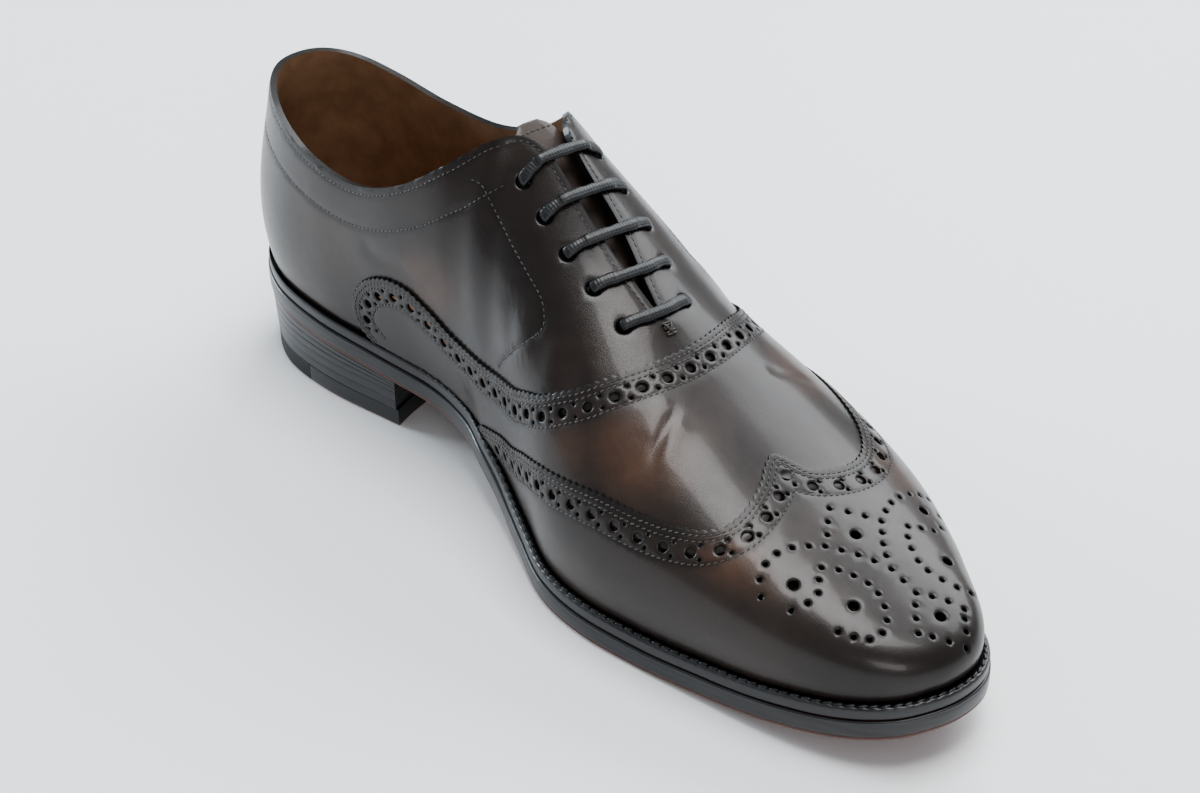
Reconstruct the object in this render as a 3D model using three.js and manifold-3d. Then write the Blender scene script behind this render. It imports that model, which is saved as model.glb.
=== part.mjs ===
// A lace-up leather shoe for the left foot: wing cap, vamp, closed facings, tongue, flat lace,
// welted leather sole and a stacked heel with a rubber corner. Millimetres, +Z up, toe towards +X,
// outer side of the foot towards +Y.

import * as THREE from 'three';
import { mergeVertices } from 'three/addons/utils/BufferGeometryUtils.js';
import Module from 'manifold-3d';

const wasm = await Module();
wasm.setup();

// Driving sizes of the shoe.
const LENGTH = 292;
const BALL_WIDTH = 100;
const HEEL_HEIGHT = 25;
const TOE_SPRING = 11.5;
const FACING_HEIGHT = 112;

// Sole, heel and insole.
const SOLE_THICK = 6.5;
const WELT_THICK = 3.8;
const WELT_STEP = 0.5;
const LEDGE = 5;
const INSOLE_THICK = 3;
const HEEL_LENGTH = 80;
const HEEL_TAPER = 1.4;
const BREAST_HOLLOW = 6;
const TOP_PIECE_THICK = 6;
const RUBBER_INNER = 40;
const RUBBER_OUTER = 58;

// Upper, its overlays, the tongue and the lace.
const WALL = 2.2;
const VAMP_THICK = 0.9;
const CAP_THICK = 1.6;
const TONGUE_THICK = 2;
const TONGUE_HALF_WIDTH = 24;
const TONGUE_RISE = 14;
const EYELET_BORE = 4.4;
const EYELET_PAIRS = 5;
const EYELET_PITCH = 13.5;
const EYELET_FIRST = 3.5;
const EYELET_SET = 11;
const LACE_THICK = 2.6;
const LACE_RUN_SET = 5;
const LACE_RUN_CLEAR = 0.4;

// Clearance between pieces that lie on each other.
const FIT = 0.3;

// Sections of the last from the heel end to the toe tip. along and topAlong are shares of LENGTH;
// inner, outer, topInner, topOuter, swell and reach of BALL_WIDTH; ledge of LEDGE; height and drop
// of FACING_HEIGHT; rise of the height of the wall at that section.
const COLUMNS = ['along', 'inner', 'outer', 'ledge', 'topAlong', 'topInner', 'topOuter', 'height',
  'rise', 'swell', 'reach', 'drop'];
const SECTIONS = [
  [0.000, -0.030, -0.030, 0.4, 0.022, -0.030, -0.030, 0.857, 0.36, 0.070, 0.03, 0.18],
  [0.010, -0.150, 0.090, 0.4, 0.029, -0.120, 0.060, 0.853, 0.36, 0.065, 0.03, 0.18],
  [0.041, -0.250, 0.195, 0.4, 0.055, -0.200, 0.140, 0.835, 0.36, 0.055, 0.03, 0.17],
  [0.096, -0.315, 0.270, 0.4, 0.101, -0.260, 0.205, 0.795, 0.36, 0.045, 0.03, 0.16],
  [0.171, -0.320, 0.305, 0.4, 0.164, -0.290, 0.250, 0.754, 0.38, 0.035, 0.03, 0.14],
  [0.257, -0.280, 0.320, 0.4, 0.240, -0.295, 0.275, 0.750, 0.38, 0.040, 0.03, 0.14],
  [0.329, -0.245, 0.340, 0.4, 0.308, -0.280, 0.270, 0.813, 0.40, 0.060, 0.04, 0.16],
  [0.387, -0.260, 0.365, 0.5, 0.368, -0.230, 0.225, 0.920, 0.42, 0.070, 0.07, 0.16],
  [0.435, -0.310, 0.385, 0.7, 0.406, -0.135, 0.125, 1.000, 0.44, 0.060, 0.13, 0.11],
  [0.479, -0.350, 0.410, 0.9, 0.437, -0.045, 0.045, 0.991, 0.46, 0.060, 0.20, 0.07],
  [0.534, -0.415, 0.445, 1.0, 0.517, -0.042, 0.034, 0.821, 0.48, 0.055, 0.28, 0.05],
  [0.596, -0.485, 0.480, 1.0, 0.606, -0.035, -0.035, 0.665, 0.50, 0.055, 0.36, 0.035],
  [0.658, -0.503, 0.500, 1.0, 0.675, -0.035, -0.035, 0.558, 0.54, 0.050, 0.40, 0.018],
  [0.726, -0.480, 0.495, 1.0, 0.738, -0.040, -0.040, 0.478, 0.58, 0.045, 0.40, 0.009],
  [0.798, -0.443, 0.440, 1.0, 0.788, -0.045, -0.045, 0.422, 0.60, 0.040, 0.38, 0.005],
  [0.870, -0.403, 0.325, 1.0, 0.830, -0.050, -0.050, 0.386, 0.62, 0.035, 0.34, 0.005],
  [0.932, -0.343, 0.205, 1.0, 0.860, -0.055, -0.055, 0.364, 0.64, 0.025, 0.29, 0.005],
  [0.973, -0.260, 0.115, 1.0, 0.878, -0.060, -0.060, 0.3513, 0.64, 0.020, 0.26, 0.005],
  [0.994, -0.155, 0.030, 1.0, 0.887, -0.060, -0.060, 0.3450, 0.64, 0.020, 0.25, 0.005],
  [1.000, -0.060, -0.060, 1.0, 0.890, -0.060, -0.060, 0.3429, 0.64, 0.020, 0.25, 0.005],
].map((row) => Object.fromEntries(COLUMNS.map((name, i) => [name, row[i]])));
const LAST = SECTIONS.length - 1;
const THROAT = 11;

// Underside of the sole: along as a share of LENGTH, heel of HEEL_HEIGHT, spring of TOE_SPRING.
const TREAD = [
  { along: 0.000, heel: 1.00, spring: 0.00 },
  { along: 0.274, heel: 0.68, spring: 0.00 },
  { along: 0.343, heel: 0.59, spring: 0.00 },
  { along: 0.428, heel: 0.48, spring: 0.00 },
  { along: 0.514, heel: 0.17, spring: 0.00 },
  { along: 0.589, heel: 0.02, spring: 0.00 },
  { along: 0.634, heel: 0.00, spring: 0.00 },
  { along: 0.719, heel: 0.00, spring: 0.00 },
  { along: 0.805, heel: 0.00, spring: 0.13 },
  { along: 0.897, heel: 0.00, spring: 0.47 },
  { along: 1.000, heel: 0.00, spring: 1.00 },
];

// Edges of the overlays on the last: section number and share of the way up the wall, from the
// sole on the inner side over the ridge to the sole on the outer side.
const VAMP_EDGE = {
  inner: [[4.85, -0.02], [4.65, 0.12], [4.72, 0.27], [5.0, 0.40], [5.45, 0.47], [5.95, 0.45],
    [6.4, 0.37], [7.0, 0.28], [7.8, 0.24], [8.8, 0.25], [9.6, 0.32], [10.2, 0.41], [10.65, 0.50],
    [11.0, 0.63], [11.2, 0.76], [11.32, 0.88], [11.36, 1.0]],
  outer: [[11.32, 0.88], [11.2, 0.76], [11.0, 0.63], [10.65, 0.50], [10.2, 0.41], [9.6, 0.32],
    [8.8, 0.25], [7.8, 0.24], [7.0, 0.28], [6.4, 0.37], [5.95, 0.45], [5.45, 0.47], [5.0, 0.40],
    [4.72, 0.27], [4.65, 0.12], [4.85, -0.02]],
};
const CAP_EDGE = {
  inner: [[7.6, -0.02], [8.0, 0.04], [8.8, 0.09], [9.6, 0.16], [10.3, 0.25], [10.95, 0.34],
    [11.6, 0.43], [12.1, 0.495], [12.55, 0.545], [12.95, 0.595], [13.3, 0.66], [13.5, 0.74],
    [13.52, 0.83], [13.4, 0.91], [13.2, 0.96], [13.08, 1.0]],
  outer: [[13.28, 0.975], [13.6, 0.94], [13.7, 0.87], [13.62, 0.78], [13.42, 0.70], [13.0, 0.61],
    [12.55, 0.545], [12.1, 0.495], [11.6, 0.43], [10.95, 0.34], [10.3, 0.25], [9.6, 0.16],
    [8.8, 0.09], [8.0, 0.04], [7.6, -0.02]],
};
const INNER = -1;
const OUTER = 1;

// Small helpers.

function closedGeometry(points, triangles) {
  const raw = new THREE.BufferGeometry();
  raw.setAttribute('position', new THREE.Float32BufferAttribute(points.flat(), 3));
  raw.setIndex(triangles.flat());
  const merged = mergeVertices(raw, 1e-3);
  const index = merged.getIndex().array;
  const kept = [];
  for (let i = 0; i < index.length; i += 3) {
    const [a, b, c] = index.slice(i, i + 3);
    if (a !== b && b !== c && c !== a) kept.push(a, b, c);
  }
  merged.setIndex(kept);
  return merged;
}

function toSolid(geometry) {
  const bare = geometry.clone();
  bare.deleteAttribute('normal');
  bare.deleteAttribute('uv');
  const merged = mergeVertices(bare, 1e-4);
  return new wasm.Manifold(new wasm.Mesh({
    numProp: 3,
    vertProperties: new Float32Array(merged.attributes.position.array),
    triVerts: new Uint32Array(merged.index.array),
  }));
}

function toGeometry(solid) {
  const mesh = solid.getMesh();
  const geometry = new THREE.BufferGeometry();
  geometry.setAttribute('position', new THREE.Float32BufferAttribute(mesh.vertProperties, 3));
  geometry.setIndex(Array.from(mesh.triVerts));
  return geometry;
}

function add(a, b, share = 1) {
  return a.map((value, i) => value + b[i] * share);
}

function subtract(a, b) {
  return a.map((value, i) => value - b[i]);
}

function cross(a, b) {
  return [a[1] * b[2] - a[2] * b[1], a[2] * b[0] - a[0] * b[2], a[0] * b[1] - a[1] * b[0]];
}

function unit(a) {
  const size = Math.hypot(...a) || 1;
  return a.map((value) => value / size);
}

function curveThrough(a, b, c, d, t) {
  return b + 0.5 * t * (c - a + t * (2 * a - 5 * b + 4 * c - d + t * (3 * (b - c) + d - a)));
}

// The last.

// One section in millimetres. Numbers before the heel and past the toe are the other side's.
function section(number, side) {
  let n = number;
  let s = side;
  if (n < 0) {
    n = -n;
    s = -s;
  }
  if (n > LAST) {
    n = 2 * LAST - n;
    s = -s;
  }
  const row = SECTIONS[n];
  return {
    x: row.along * LENGTH,
    y: (s === INNER ? row.inner : row.outer) * BALL_WIDTH,
    ledge: row.ledge * LEDGE,
    topX: row.topAlong * LENGTH,
    topY: (s === INNER ? row.topInner : row.topOuter) * BALL_WIDTH,
    topZ: row.height * FACING_HEIGHT,
    rise: row.rise,
    swell: row.swell * BALL_WIDTH,
    reach: row.reach * BALL_WIDTH,
    drop: row.drop * FACING_HEIGHT,
  };
}

// The smooth section at any station between two rows of the table.
function station(at, side) {
  const k = Math.min(Math.floor(at), LAST - 1);
  const t = at - k;
  const rows = [-1, 0, 1, 2].map((step) => section(k + step, side));
  const result = {};
  for (const name of Object.keys(rows[0])) {
    result[name] = curveThrough(...rows.map((row) => row[name]), t);
  }
  return result;
}

// Sideways place of the top edge. Past the throat both sides share one ridge line.
function topAcross(at, side) {
  const own = station(at, side).topY;
  return at < THROAT ? own : (own + station(at, -side).topY) / 2;
}

// Height of the sole's underside, a curve without overshoot through the tread table.
function underside(x) {
  const knots = TREAD.map((row) => [row.along * LENGTH, row.heel * HEEL_HEIGHT + row.spring * TOE_SPRING]);
  const at = Math.min(Math.max(x, knots[0][0]), knots.at(-1)[0]);
  let k = 0;
  while (k < knots.length - 2 && at > knots[k + 1][0]) k += 1;
  const slope = (i) => (knots[i + 1][1] - knots[i][1]) / (knots[i + 1][0] - knots[i][0]);
  const tangent = (i) => {
    if (i === 0) return slope(0);
    if (i === knots.length - 1) return slope(i - 1);
    const before = slope(i - 1);
    const after = slope(i);
    return before * after <= 0 ? 0 : (2 * before * after) / (before + after);
  };
  const [x0, z0] = knots[k];
  const [x1, z1] = knots[k + 1];
  const h = x1 - x0;
  const t = (at - x0) / h;
  return z0 * (1 + 2 * t) * (1 - t) ** 2 + tangent(k) * h * t * (1 - t) ** 2
    + z1 * t * t * (3 - 2 * t) + tangent(k + 1) * h * t * t * (t - 1);
}

// Point of the sole's edge and its outward direction in plan.
function edgePoint(at, side) {
  const here = station(at, side);
  return [here.x, here.y];
}

function edgeNormal(at, side) {
  const step = 1e-3;
  const before = at - step < 0 ? edgePoint(step - at, -side) : edgePoint(at - step, side);
  const after = at + step > LAST ? edgePoint(2 * LAST - at - step, -side) : edgePoint(at + step, side);
  const dx = after[0] - before[0];
  const dy = after[1] - before[1];
  const size = Math.hypot(dx, dy);
  return [(-side * dy) / size, (side * dx) / size];
}

// Where the upper stands: above the outsole and the welt.
const SEAT = SOLE_THICK + FIT + WELT_THICK + FIT;

// Slope of the ridge line over the forepart, faded in from the open facings.
function ridgeSlope(at, side) {
  const step = 0.05;
  const a = station(Math.max(at - step, 0), side);
  const b = station(Math.min(at + step, LAST), side);
  const run = b.topX - a.topX;
  const fade = Math.min(Math.max((at - THROAT + 2) / 2, 0), 1);
  return Math.abs(run) < 1e-6 ? 0 : (fade * (b.topZ - a.topZ)) / run;
}

// The upper's outer surface: up = 0 at the sole, 1 at the collar, facing edge or ridge.
function wallPoint(at, side, up) {
  const here = station(at, side);
  const [nx, ny] = edgeNormal(at, side);
  const foot = [here.x - nx * here.ledge, here.y - ny * here.ledge, underside(here.x) + SEAT];
  const top = [here.topX, topAcross(at, side), here.topZ];
  const low = [
    foot[0] + nx * here.swell,
    foot[1] + ny * here.swell,
    foot[2] + here.rise * (top[2] - foot[2]),
  ];
  const high = [
    top[0] + nx * here.reach,
    top[1] + ny * here.reach,
    top[2] + nx * here.reach * ridgeSlope(at, side) - here.drop,
  ];
  const q = 1 - up;
  return foot.map((value, i) => q * q * q * value + 3 * q * q * up * low[i]
    + 3 * q * up * up * high[i] + up * up * up * top[i]);
}

function ringPoint(at, side, up) {
  if (at < 0) return wallPoint(-at, -side, up);
  if (at > LAST) return wallPoint(2 * LAST - at, -side, up);
  return wallPoint(at, side, up);
}

function sideNormal(at, side, up) {
  const step = 0.02;
  const along = subtract(ringPoint(at + step, side, up), ringPoint(at - step, side, up));
  const upward = subtract(wallPoint(at, side, up + step), wallPoint(at, side, up - step));
  return unit(side === INNER ? cross(along, upward) : cross(upward, along));
}

// Outward direction of the surface. It is level at the sole, and along the closed ridge both
// sides share the direction square to the ridge line.
const RIDGE_BAND = 0.93;
function wallNormal(at, side, up) {
  if (up <= 0) return [...edgeNormal(at, side), 0];
  if (at < THROAT || up < RIDGE_BAND) return sideNormal(at, side, up);
  const own = sideNormal(at, side, RIDGE_BAND);
  const ridge = unit([-ridgeSlope(at, side), 0, 1]);
  const share = (up - RIDGE_BAND) / (1 - RIDGE_BAND);
  return unit(add(own.map((value) => value * (1 - share)), ridge, share));
}

function offsetPoint(at, side, up, outwards) {
  return add(wallPoint(at, side, up), wallNormal(at, side, up), outwards);
}

// Shells and slabs on the last.

const STEPS_PER_SECTION = 2;
const RING_HALF = LAST * STEPS_PER_SECTION;
const WALL_STEPS = 8;

function ringStation(i) {
  const n = (i + 2 * RING_HALF) % (2 * RING_HALF);
  return n <= RING_HALF
    ? { at: n / STEPS_PER_SECTION, side: INNER }
    : { at: (2 * RING_HALF - n) / STEPS_PER_SECTION, side: OUTER };
}

// A hollow wall between two offsets of the surface, open underneath, at the collar and down the
// slit between the facings.
function wallShell(inside, outside) {
  const points = [];
  const triangles = [];
  const rings = 2 * RING_HALF;
  const layer = rings * (WALL_STEPS + 1);
  for (const outwards of [inside, outside]) {
    for (let i = 0; i < rings; i += 1) {
      const { at, side } = ringStation(i);
      for (let j = 0; j <= WALL_STEPS; j += 1) {
        points.push(offsetPoint(at, side, j / WALL_STEPS, outwards));
      }
    }
  }
  const id = (i, j, face) => face * layer + (i % rings) * (WALL_STEPS + 1) + j;
  const quad = (a, b, c, d) => triangles.push([a, b, c], [a, c, d]);
  for (let i = 0; i < rings; i += 1) {
    for (let j = 0; j < WALL_STEPS; j += 1) {
      quad(id(i, j, 1), id(i + 1, j, 1), id(i + 1, j + 1, 1), id(i, j + 1, 1));
      quad(id(i, j, 0), id(i, j + 1, 0), id(i + 1, j + 1, 0), id(i + 1, j, 0));
    }
    quad(id(i, 0, 0), id(i + 1, 0, 0), id(i + 1, 0, 1), id(i, 0, 1));
    if (Math.max(ringStation(i).at, ringStation(i + 1).at) <= THROAT) {
      const rim = WALL_STEPS;
      quad(id(i, rim, 1), id(i + 1, rim, 1), id(i + 1, rim, 0), id(i, rim, 0));
    }
  }
  return closedGeometry(points, triangles);
}

// A slab that follows the sole's outline, inset from it, between two heights given for each x.
function slab(inset, bottom, top) {
  const points = [];
  const triangles = [];
  for (let i = 0; i <= RING_HALF; i += 1) {
    const at = i / STEPS_PER_SECTION;
    for (const side of [INNER, OUTER]) {
      const [x, y] = edgePoint(at, side);
      const [nx, ny] = edgeNormal(at, side);
      const depth = inset(at, side);
      for (const height of [bottom, top]) points.push([x - nx * depth, y - ny * depth, height(x)]);
    }
  }
  const id = (i, side, level) => i * 4 + side * 2 + level;
  const quad = (a, b, c, d) => triangles.push([a, b, c], [a, c, d]);
  for (let i = 0; i < RING_HALF; i += 1) {
    quad(id(i, 0, 1), id(i + 1, 0, 1), id(i + 1, 1, 1), id(i, 1, 1));
    quad(id(i, 0, 0), id(i, 1, 0), id(i + 1, 1, 0), id(i + 1, 0, 0));
    quad(id(i, 0, 0), id(i + 1, 0, 0), id(i + 1, 0, 1), id(i, 0, 1));
    quad(id(i, 1, 1), id(i + 1, 1, 1), id(i + 1, 1, 0), id(i, 1, 0));
  }
  return closedGeometry(points, triangles);
}

// Cutters for the overlays.

// The edge as points on the surface, with a few steps between knots, moved sideways on the
// surface by a gap: away from the toe for a positive gap.
function edgePoints(edge, gap) {
  const steps = 3;
  const spots = [];
  for (const side of [INNER, OUTER]) {
    const ridge = edge.inner.at(-1);
    const list = side === INNER ? edge.inner : [ridge, ...edge.outer];
    const last = list.length - 1;
    for (let k = 0; k < last; k += 1) {
      for (let n = side === INNER && k === 0 ? 0 : 1; n <= steps; n += 1) {
        const at = [-1, 0, 1, 2].map((j) => list[Math.min(Math.max(k + j, 0), last)]);
        const value = (c) => curveThrough(...at.map((knot) => knot[c]), n / steps);
        spots.push({ at: value(0), up: Math.min(value(1), 1), side });
      }
    }
  }
  const points = spots.map((spot) => wallPoint(spot.at, spot.side, spot.up));
  return points.map((point, i) => {
    const before = points[Math.max(i - 1, 0)];
    const after = points[Math.min(i + 1, points.length - 1)];
    const spot = spots[i];
    const normal = wallNormal(spot.at, spot.side, Math.max(spot.up, 0.02));
    return add(point, unit(cross(normal, subtract(after, before))), gap);
  });
}

// A cone from a point inside the shoe through an edge, holding everything towards the toe.
function edgeCone(edge, gap, apex) {
  const far = 2000;
  const under = [[-0.5, -0.35, -1], [-0.5, 0, -1], [-0.5, 0.35, -1]];
  const rays = edgePoints(edge, gap).map((point) => unit(subtract(point, apex)));
  const loop = [...rays, ...under.map(unit).reverse()].map((ray) => add(apex, ray, far));
  const front = add(apex, unit([1, 0, -0.35]), far);
  const points = [apex, front, ...loop];
  const triangles = [];
  loop.forEach((point, i) => {
    const a = i + 2;
    const b = ((i + 1) % loop.length) + 2;
    triangles.push([0, b, a], [1, a, b]);
  });
  return toSolid(closedGeometry(points, outwardFaces(points, triangles)));
}

// Sub-parts.

function makeOutsole() {
  return slab(() => 0, (x) => underside(x), (x) => underside(x) + SOLE_THICK);
}

// The ring of leather stitched round the upper, with its bed for the insole cut out.
const WELT_OVERLAP = 1.2;
function makeWelt() {
  const low = (x) => underside(x) + SOLE_THICK + FIT;
  const ring = slab(() => WELT_STEP, low, (x) => low(x) + WELT_THICK);
  const bed = slab(
    (at, side) => station(at, side).ledge + WELT_OVERLAP,
    (x) => low(x) - WELT_THICK,
    (x) => low(x) + 2 * WELT_THICK,
  );
  return toGeometry(toSolid(ring).subtract(toSolid(bed)));
}

function makeInsole() {
  const low = (x) => underside(x) + SOLE_THICK + FIT;
  const edge = (at, side) => station(at, side).ledge + Math.max(WALL, WELT_OVERLAP) + 2 * FIT;
  return slab(edge, low, (x) => underside(x) + SEAT + INSOLE_THICK);
}

// Plan of the heel from the inner breast corner round the back to the outer one, and the hollow
// front face, inset from the sole's edge.
function heelPlan(inset) {
  const rows = SECTIONS.map((row) => row.along * LENGTH);
  let k = 0;
  while (rows[k + 1] < HEEL_LENGTH) k += 1;
  const front = k + (HEEL_LENGTH - rows[k]) / (rows[k + 1] - rows[k]);
  const steps = 18;
  const plan = [];
  for (let i = -steps; i <= steps; i += 1) {
    const side = i < 0 ? INNER : OUTER;
    const at = (front * Math.abs(i)) / steps;
    const [x, y] = edgePoint(at, side);
    const [nx, ny] = edgeNormal(at, side);
    plan.push([x - nx * inset, y - ny * inset]);
  }
  const from = plan.at(-1);
  const to = plan[0];
  for (let i = 1; i < 10; i += 1) {
    const t = i / 10;
    const bow = 4 * t * (1 - t) * BREAST_HOLLOW;
    plan.push([from[0] + (to[0] - from[0]) * t - bow, from[1] + (to[1] - from[1]) * t]);
  }
  return plan;
}

function heelBlock(insetLow, insetHigh, low, high) {
  const bottom = heelPlan(insetLow);
  const top = heelPlan(insetHigh);
  const count = bottom.length;
  const points = [
    ...bottom.map(([x, y]) => [x, y, low(x)]),
    ...top.map(([x, y]) => [x, y, high(x)]),
  ];
  const triangles = [];
  const contour = bottom.map(([x, y]) => new THREE.Vector2(x, y));
  const turn = (a, b, c) => new THREE.Vector2().subVectors(contour[b], contour[a])
    .cross(new THREE.Vector2().subVectors(contour[c], contour[a]));
  for (const face of THREE.ShapeUtils.triangulateShape(contour, [])) {
    const [a, b, c] = turn(...face) > 0 ? face : face.toReversed();
    triangles.push([a, c, b], [count + a, count + b, count + c]);
  }
  for (let i = 0; i < count; i += 1) {
    const j = (i + 1) % count;
    triangles.push([i, count + i, count + j], [i, count + j, j]);
  }
  return closedGeometry(points, outwardFaces(points, triangles));
}

// Turns every triangle over where the solid came out inside out.
function outwardFaces(points, triangles) {
  let volume = 0;
  for (const [a, b, c] of triangles) {
    const n = cross(points[b], points[c]);
    volume += points[a][0] * n[0] + points[a][1] * n[1] + points[a][2] * n[2];
  }
  return volume > 0 ? triangles : triangles.map(([a, b, c]) => [a, c, b]);
}

function makeHeelStack() {
  return heelBlock(HEEL_TAPER, WELT_STEP, () => TOP_PIECE_THICK + FIT, (x) => underside(x) - FIT);
}

// The half space behind the slanted joint of the top piece, moved forward by a gap.
function behindJoint(gap) {
  const far = 400;
  const angle = Math.atan2(RUBBER_OUTER - RUBBER_INNER, 0.6 * BALL_WIDTH);
  const box = new THREE.BoxGeometry(far, far, far);
  box.translate(-far / 2 + gap, 0, 0);
  box.rotateZ(-angle);
  box.translate((RUBBER_INNER + RUBBER_OUTER) / 2, 0, 0);
  return toSolid(box);
}

function makeTopPiece() {
  const whole = toSolid(heelBlock(HEEL_TAPER, HEEL_TAPER, () => 0, () => TOP_PIECE_THICK));
  return {
    leather: toGeometry(whole.subtract(behindJoint(FIT / 2))),
    rubber: toGeometry(whole.intersect(behindJoint(-FIT / 2))),
  };
}

// Eyelets: walking along the facing's edge from the throat, then in from that edge.
function stationOnFacing(side, distance) {
  let at = THROAT;
  let walked = 0;
  let here = wallPoint(at, side, 1);
  while (walked < distance && at > 0) {
    const next = wallPoint(at - 0.01, side, 1);
    walked += Math.hypot(...subtract(next, here));
    here = next;
    at -= 0.01;
  }
  return at;
}

function heightInFromEdge(at, side, distance) {
  let up = 1;
  let walked = 0;
  let here = wallPoint(at, side, 1);
  while (walked < distance && up > 0) {
    const next = wallPoint(at, side, up - 0.005);
    walked += Math.hypot(...subtract(next, here));
    here = next;
    up -= 0.005;
  }
  return up;
}

function eyelet(pair, side, extra = 0) {
  const at = stationOnFacing(side, EYELET_FIRST + pair * EYELET_PITCH);
  return { at, side, up: heightInFromEdge(at, side, EYELET_SET + extra) };
}

function bore(spot) {
  const cylinder = new THREE.CylinderGeometry(EYELET_BORE / 2, EYELET_BORE / 2, 6 * WALL, 14);
  const normal = new THREE.Vector3(...wallNormal(spot.at, spot.side, spot.up));
  cylinder.applyQuaternion(new THREE.Quaternion().setFromUnitVectors(new THREE.Vector3(0, 1, 0), normal));
  cylinder.translate(...wallPoint(spot.at, spot.side, spot.up));
  return toSolid(cylinder);
}

function makeUpper() {
  let upper = toSolid(wallShell(-WALL, 0));
  for (let pair = 0; pair < EYELET_PAIRS; pair += 1) {
    for (const side of [INNER, OUTER]) upper = upper.subtract(bore(eyelet(pair, side)));
  }
  return toGeometry(upper);
}

const VAMP_APEX = [0.41 * LENGTH, 0, 0.27 * FACING_HEIGHT];
const CAP_APEX = [0.565 * LENGTH, -0.02 * BALL_WIDTH, 0.18 * FACING_HEIGHT];

function makeVamp() {
  const sheet = toSolid(wallShell(FIT, FIT + VAMP_THICK));
  const piece = sheet.intersect(edgeCone(VAMP_EDGE, 0, VAMP_APEX));
  return toGeometry(piece.subtract(edgeCone(CAP_EDGE, 1.5 * FIT, CAP_APEX)));
}

function makeWingCap() {
  const sheet = toSolid(wallShell(FIT, FIT + CAP_THICK));
  return toGeometry(sheet.intersect(edgeCone(CAP_EDGE, 0, CAP_APEX)));
}

// The tongue lies under the lace's hidden runs and comes up to the vamp's lining at its front end.
const TONGUE_BACK = 9.2;
const TONGUE_FRONT = 12.3;
function tonguePoint(at, across, extra) {
  const side = across < 0 ? INNER : OUTER;
  const on = Math.max(at, TONGUE_BACK);
  const up = heightInFromEdge(on, side, Math.abs(across) * TONGUE_HALF_WIDTH);
  const ramp = Math.min(Math.max((on - THROAT - 0.3) / 0.9, 0), 1);
  const deep = WALL + 2 * FIT + LACE_THICK;
  const depth = deep + (WALL + FIT - deep) * ramp + extra;
  return offsetPoint(on, side, Math.min(up, 0.999), -depth);
}

function makeTongue() {
  const across = [-1, -0.8, -0.6, -0.4, -0.22, 0.22, 0.4, 0.6, 0.8, 1];
  const stations = [];
  for (let at = TONGUE_BACK; at <= TONGUE_FRONT + 1e-6; at += (TONGUE_FRONT - TONGUE_BACK) / 9) stations.push(at);
  const layer = (extra) => {
    const rows = stations.map((at) => across.map((a) => tonguePoint(at, a, extra)));
    const lift = rows[0].map((point, i) => unit(subtract(point, rows[1][i])));
    const raised = [1, 0.5].map((share) => rows[0].map((point, i) => {
      const round = 1 - 0.35 * Math.abs(across[i]) ** 3;
      return add(point, lift[i], TONGUE_RISE * share * round);
    }));
    return [...raised, ...rows];
  };
  const top = layer(0);
  const under = layer(TONGUE_THICK);
  const points = [...top.flat(), ...under.flat()];
  const wide = across.length;
  const long = top.length;
  const id = (i, j, face) => face * wide * long + i * wide + j;
  const triangles = [];
  const quad = (a, b, c, d) => triangles.push([a, b, c], [a, c, d]);
  for (let i = 0; i < long - 1; i += 1) {
    for (let j = 0; j < wide - 1; j += 1) {
      quad(id(i, j, 0), id(i + 1, j, 0), id(i + 1, j + 1, 0), id(i, j + 1, 0));
      quad(id(i, j, 1), id(i, j + 1, 1), id(i + 1, j + 1, 1), id(i + 1, j, 1));
    }
    quad(id(i, 0, 0), id(i, 0, 1), id(i + 1, 0, 1), id(i + 1, 0, 0));
    quad(id(i, wide - 1, 0), id(i + 1, wide - 1, 0), id(i + 1, wide - 1, 1), id(i, wide - 1, 1));
  }
  for (let j = 0; j < wide - 1; j += 1) {
    quad(id(0, j, 0), id(0, j + 1, 0), id(0, j + 1, 1), id(0, j, 1));
    quad(id(long - 1, j, 0), id(long - 1, j, 1), id(long - 1, j + 1, 1), id(long - 1, j + 1, 0));
  }
  return closedGeometry(points, outwardFaces(points, triangles));
}

// One lace: a hidden run down from the top eyelet, then bar after bar up the facings.
function laceRoute() {
  const outside = LACE_THICK / 2 + FIT;
  const inside = -(WALL + LACE_RUN_CLEAR + LACE_THICK / 2);
  const at = (spot, outwards) => offsetPoint(spot.at, spot.side, spot.up, outwards);
  const between = (a, b, share) => ({
    at: a.at + (b.at - a.at) * share, side: a.side, up: a.up + (b.up - a.up) * share,
  });
  const route = [];
  const top = EYELET_PAIRS - 1;
  for (let pair = top; pair > 0; pair -= 1) route.push(at(eyelet(pair, INNER, LACE_RUN_SET), inside));
  route.push(at(between(eyelet(0, INNER, LACE_RUN_SET), eyelet(0, INNER), 0.5), inside));
  for (let pair = 0; pair <= top; pair += 1) {
    const from = pair % 2 === 0 ? INNER : OUTER;
    const start = eyelet(pair, from);
    const end = eyelet(pair, -from);
    route.push(at(start, inside + LACE_THICK / 4), at(start, -WALL / 2), at(start, outside * 0.8));
    for (const share of [0.3, 0.62, 0.95]) {
      route.push(at({ ...start, up: start.up + (1 - start.up) * share }, outside));
    }
    for (const share of [0.95, 0.62, 0.3]) {
      route.push(at({ ...end, up: end.up + (1 - end.up) * share }, outside));
    }
    route.push(at(end, outside * 0.8), at(end, -WALL / 2), at(end, inside + LACE_THICK / 4));
    if (pair < top) {
      const next = eyelet(pair + 1, -from);
      for (const share of [0.25, 0.5, 0.75]) route.push(at(between(end, next, share), inside));
    }
  }
  return route.map((point) => new THREE.Vector3(...point));
}

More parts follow.
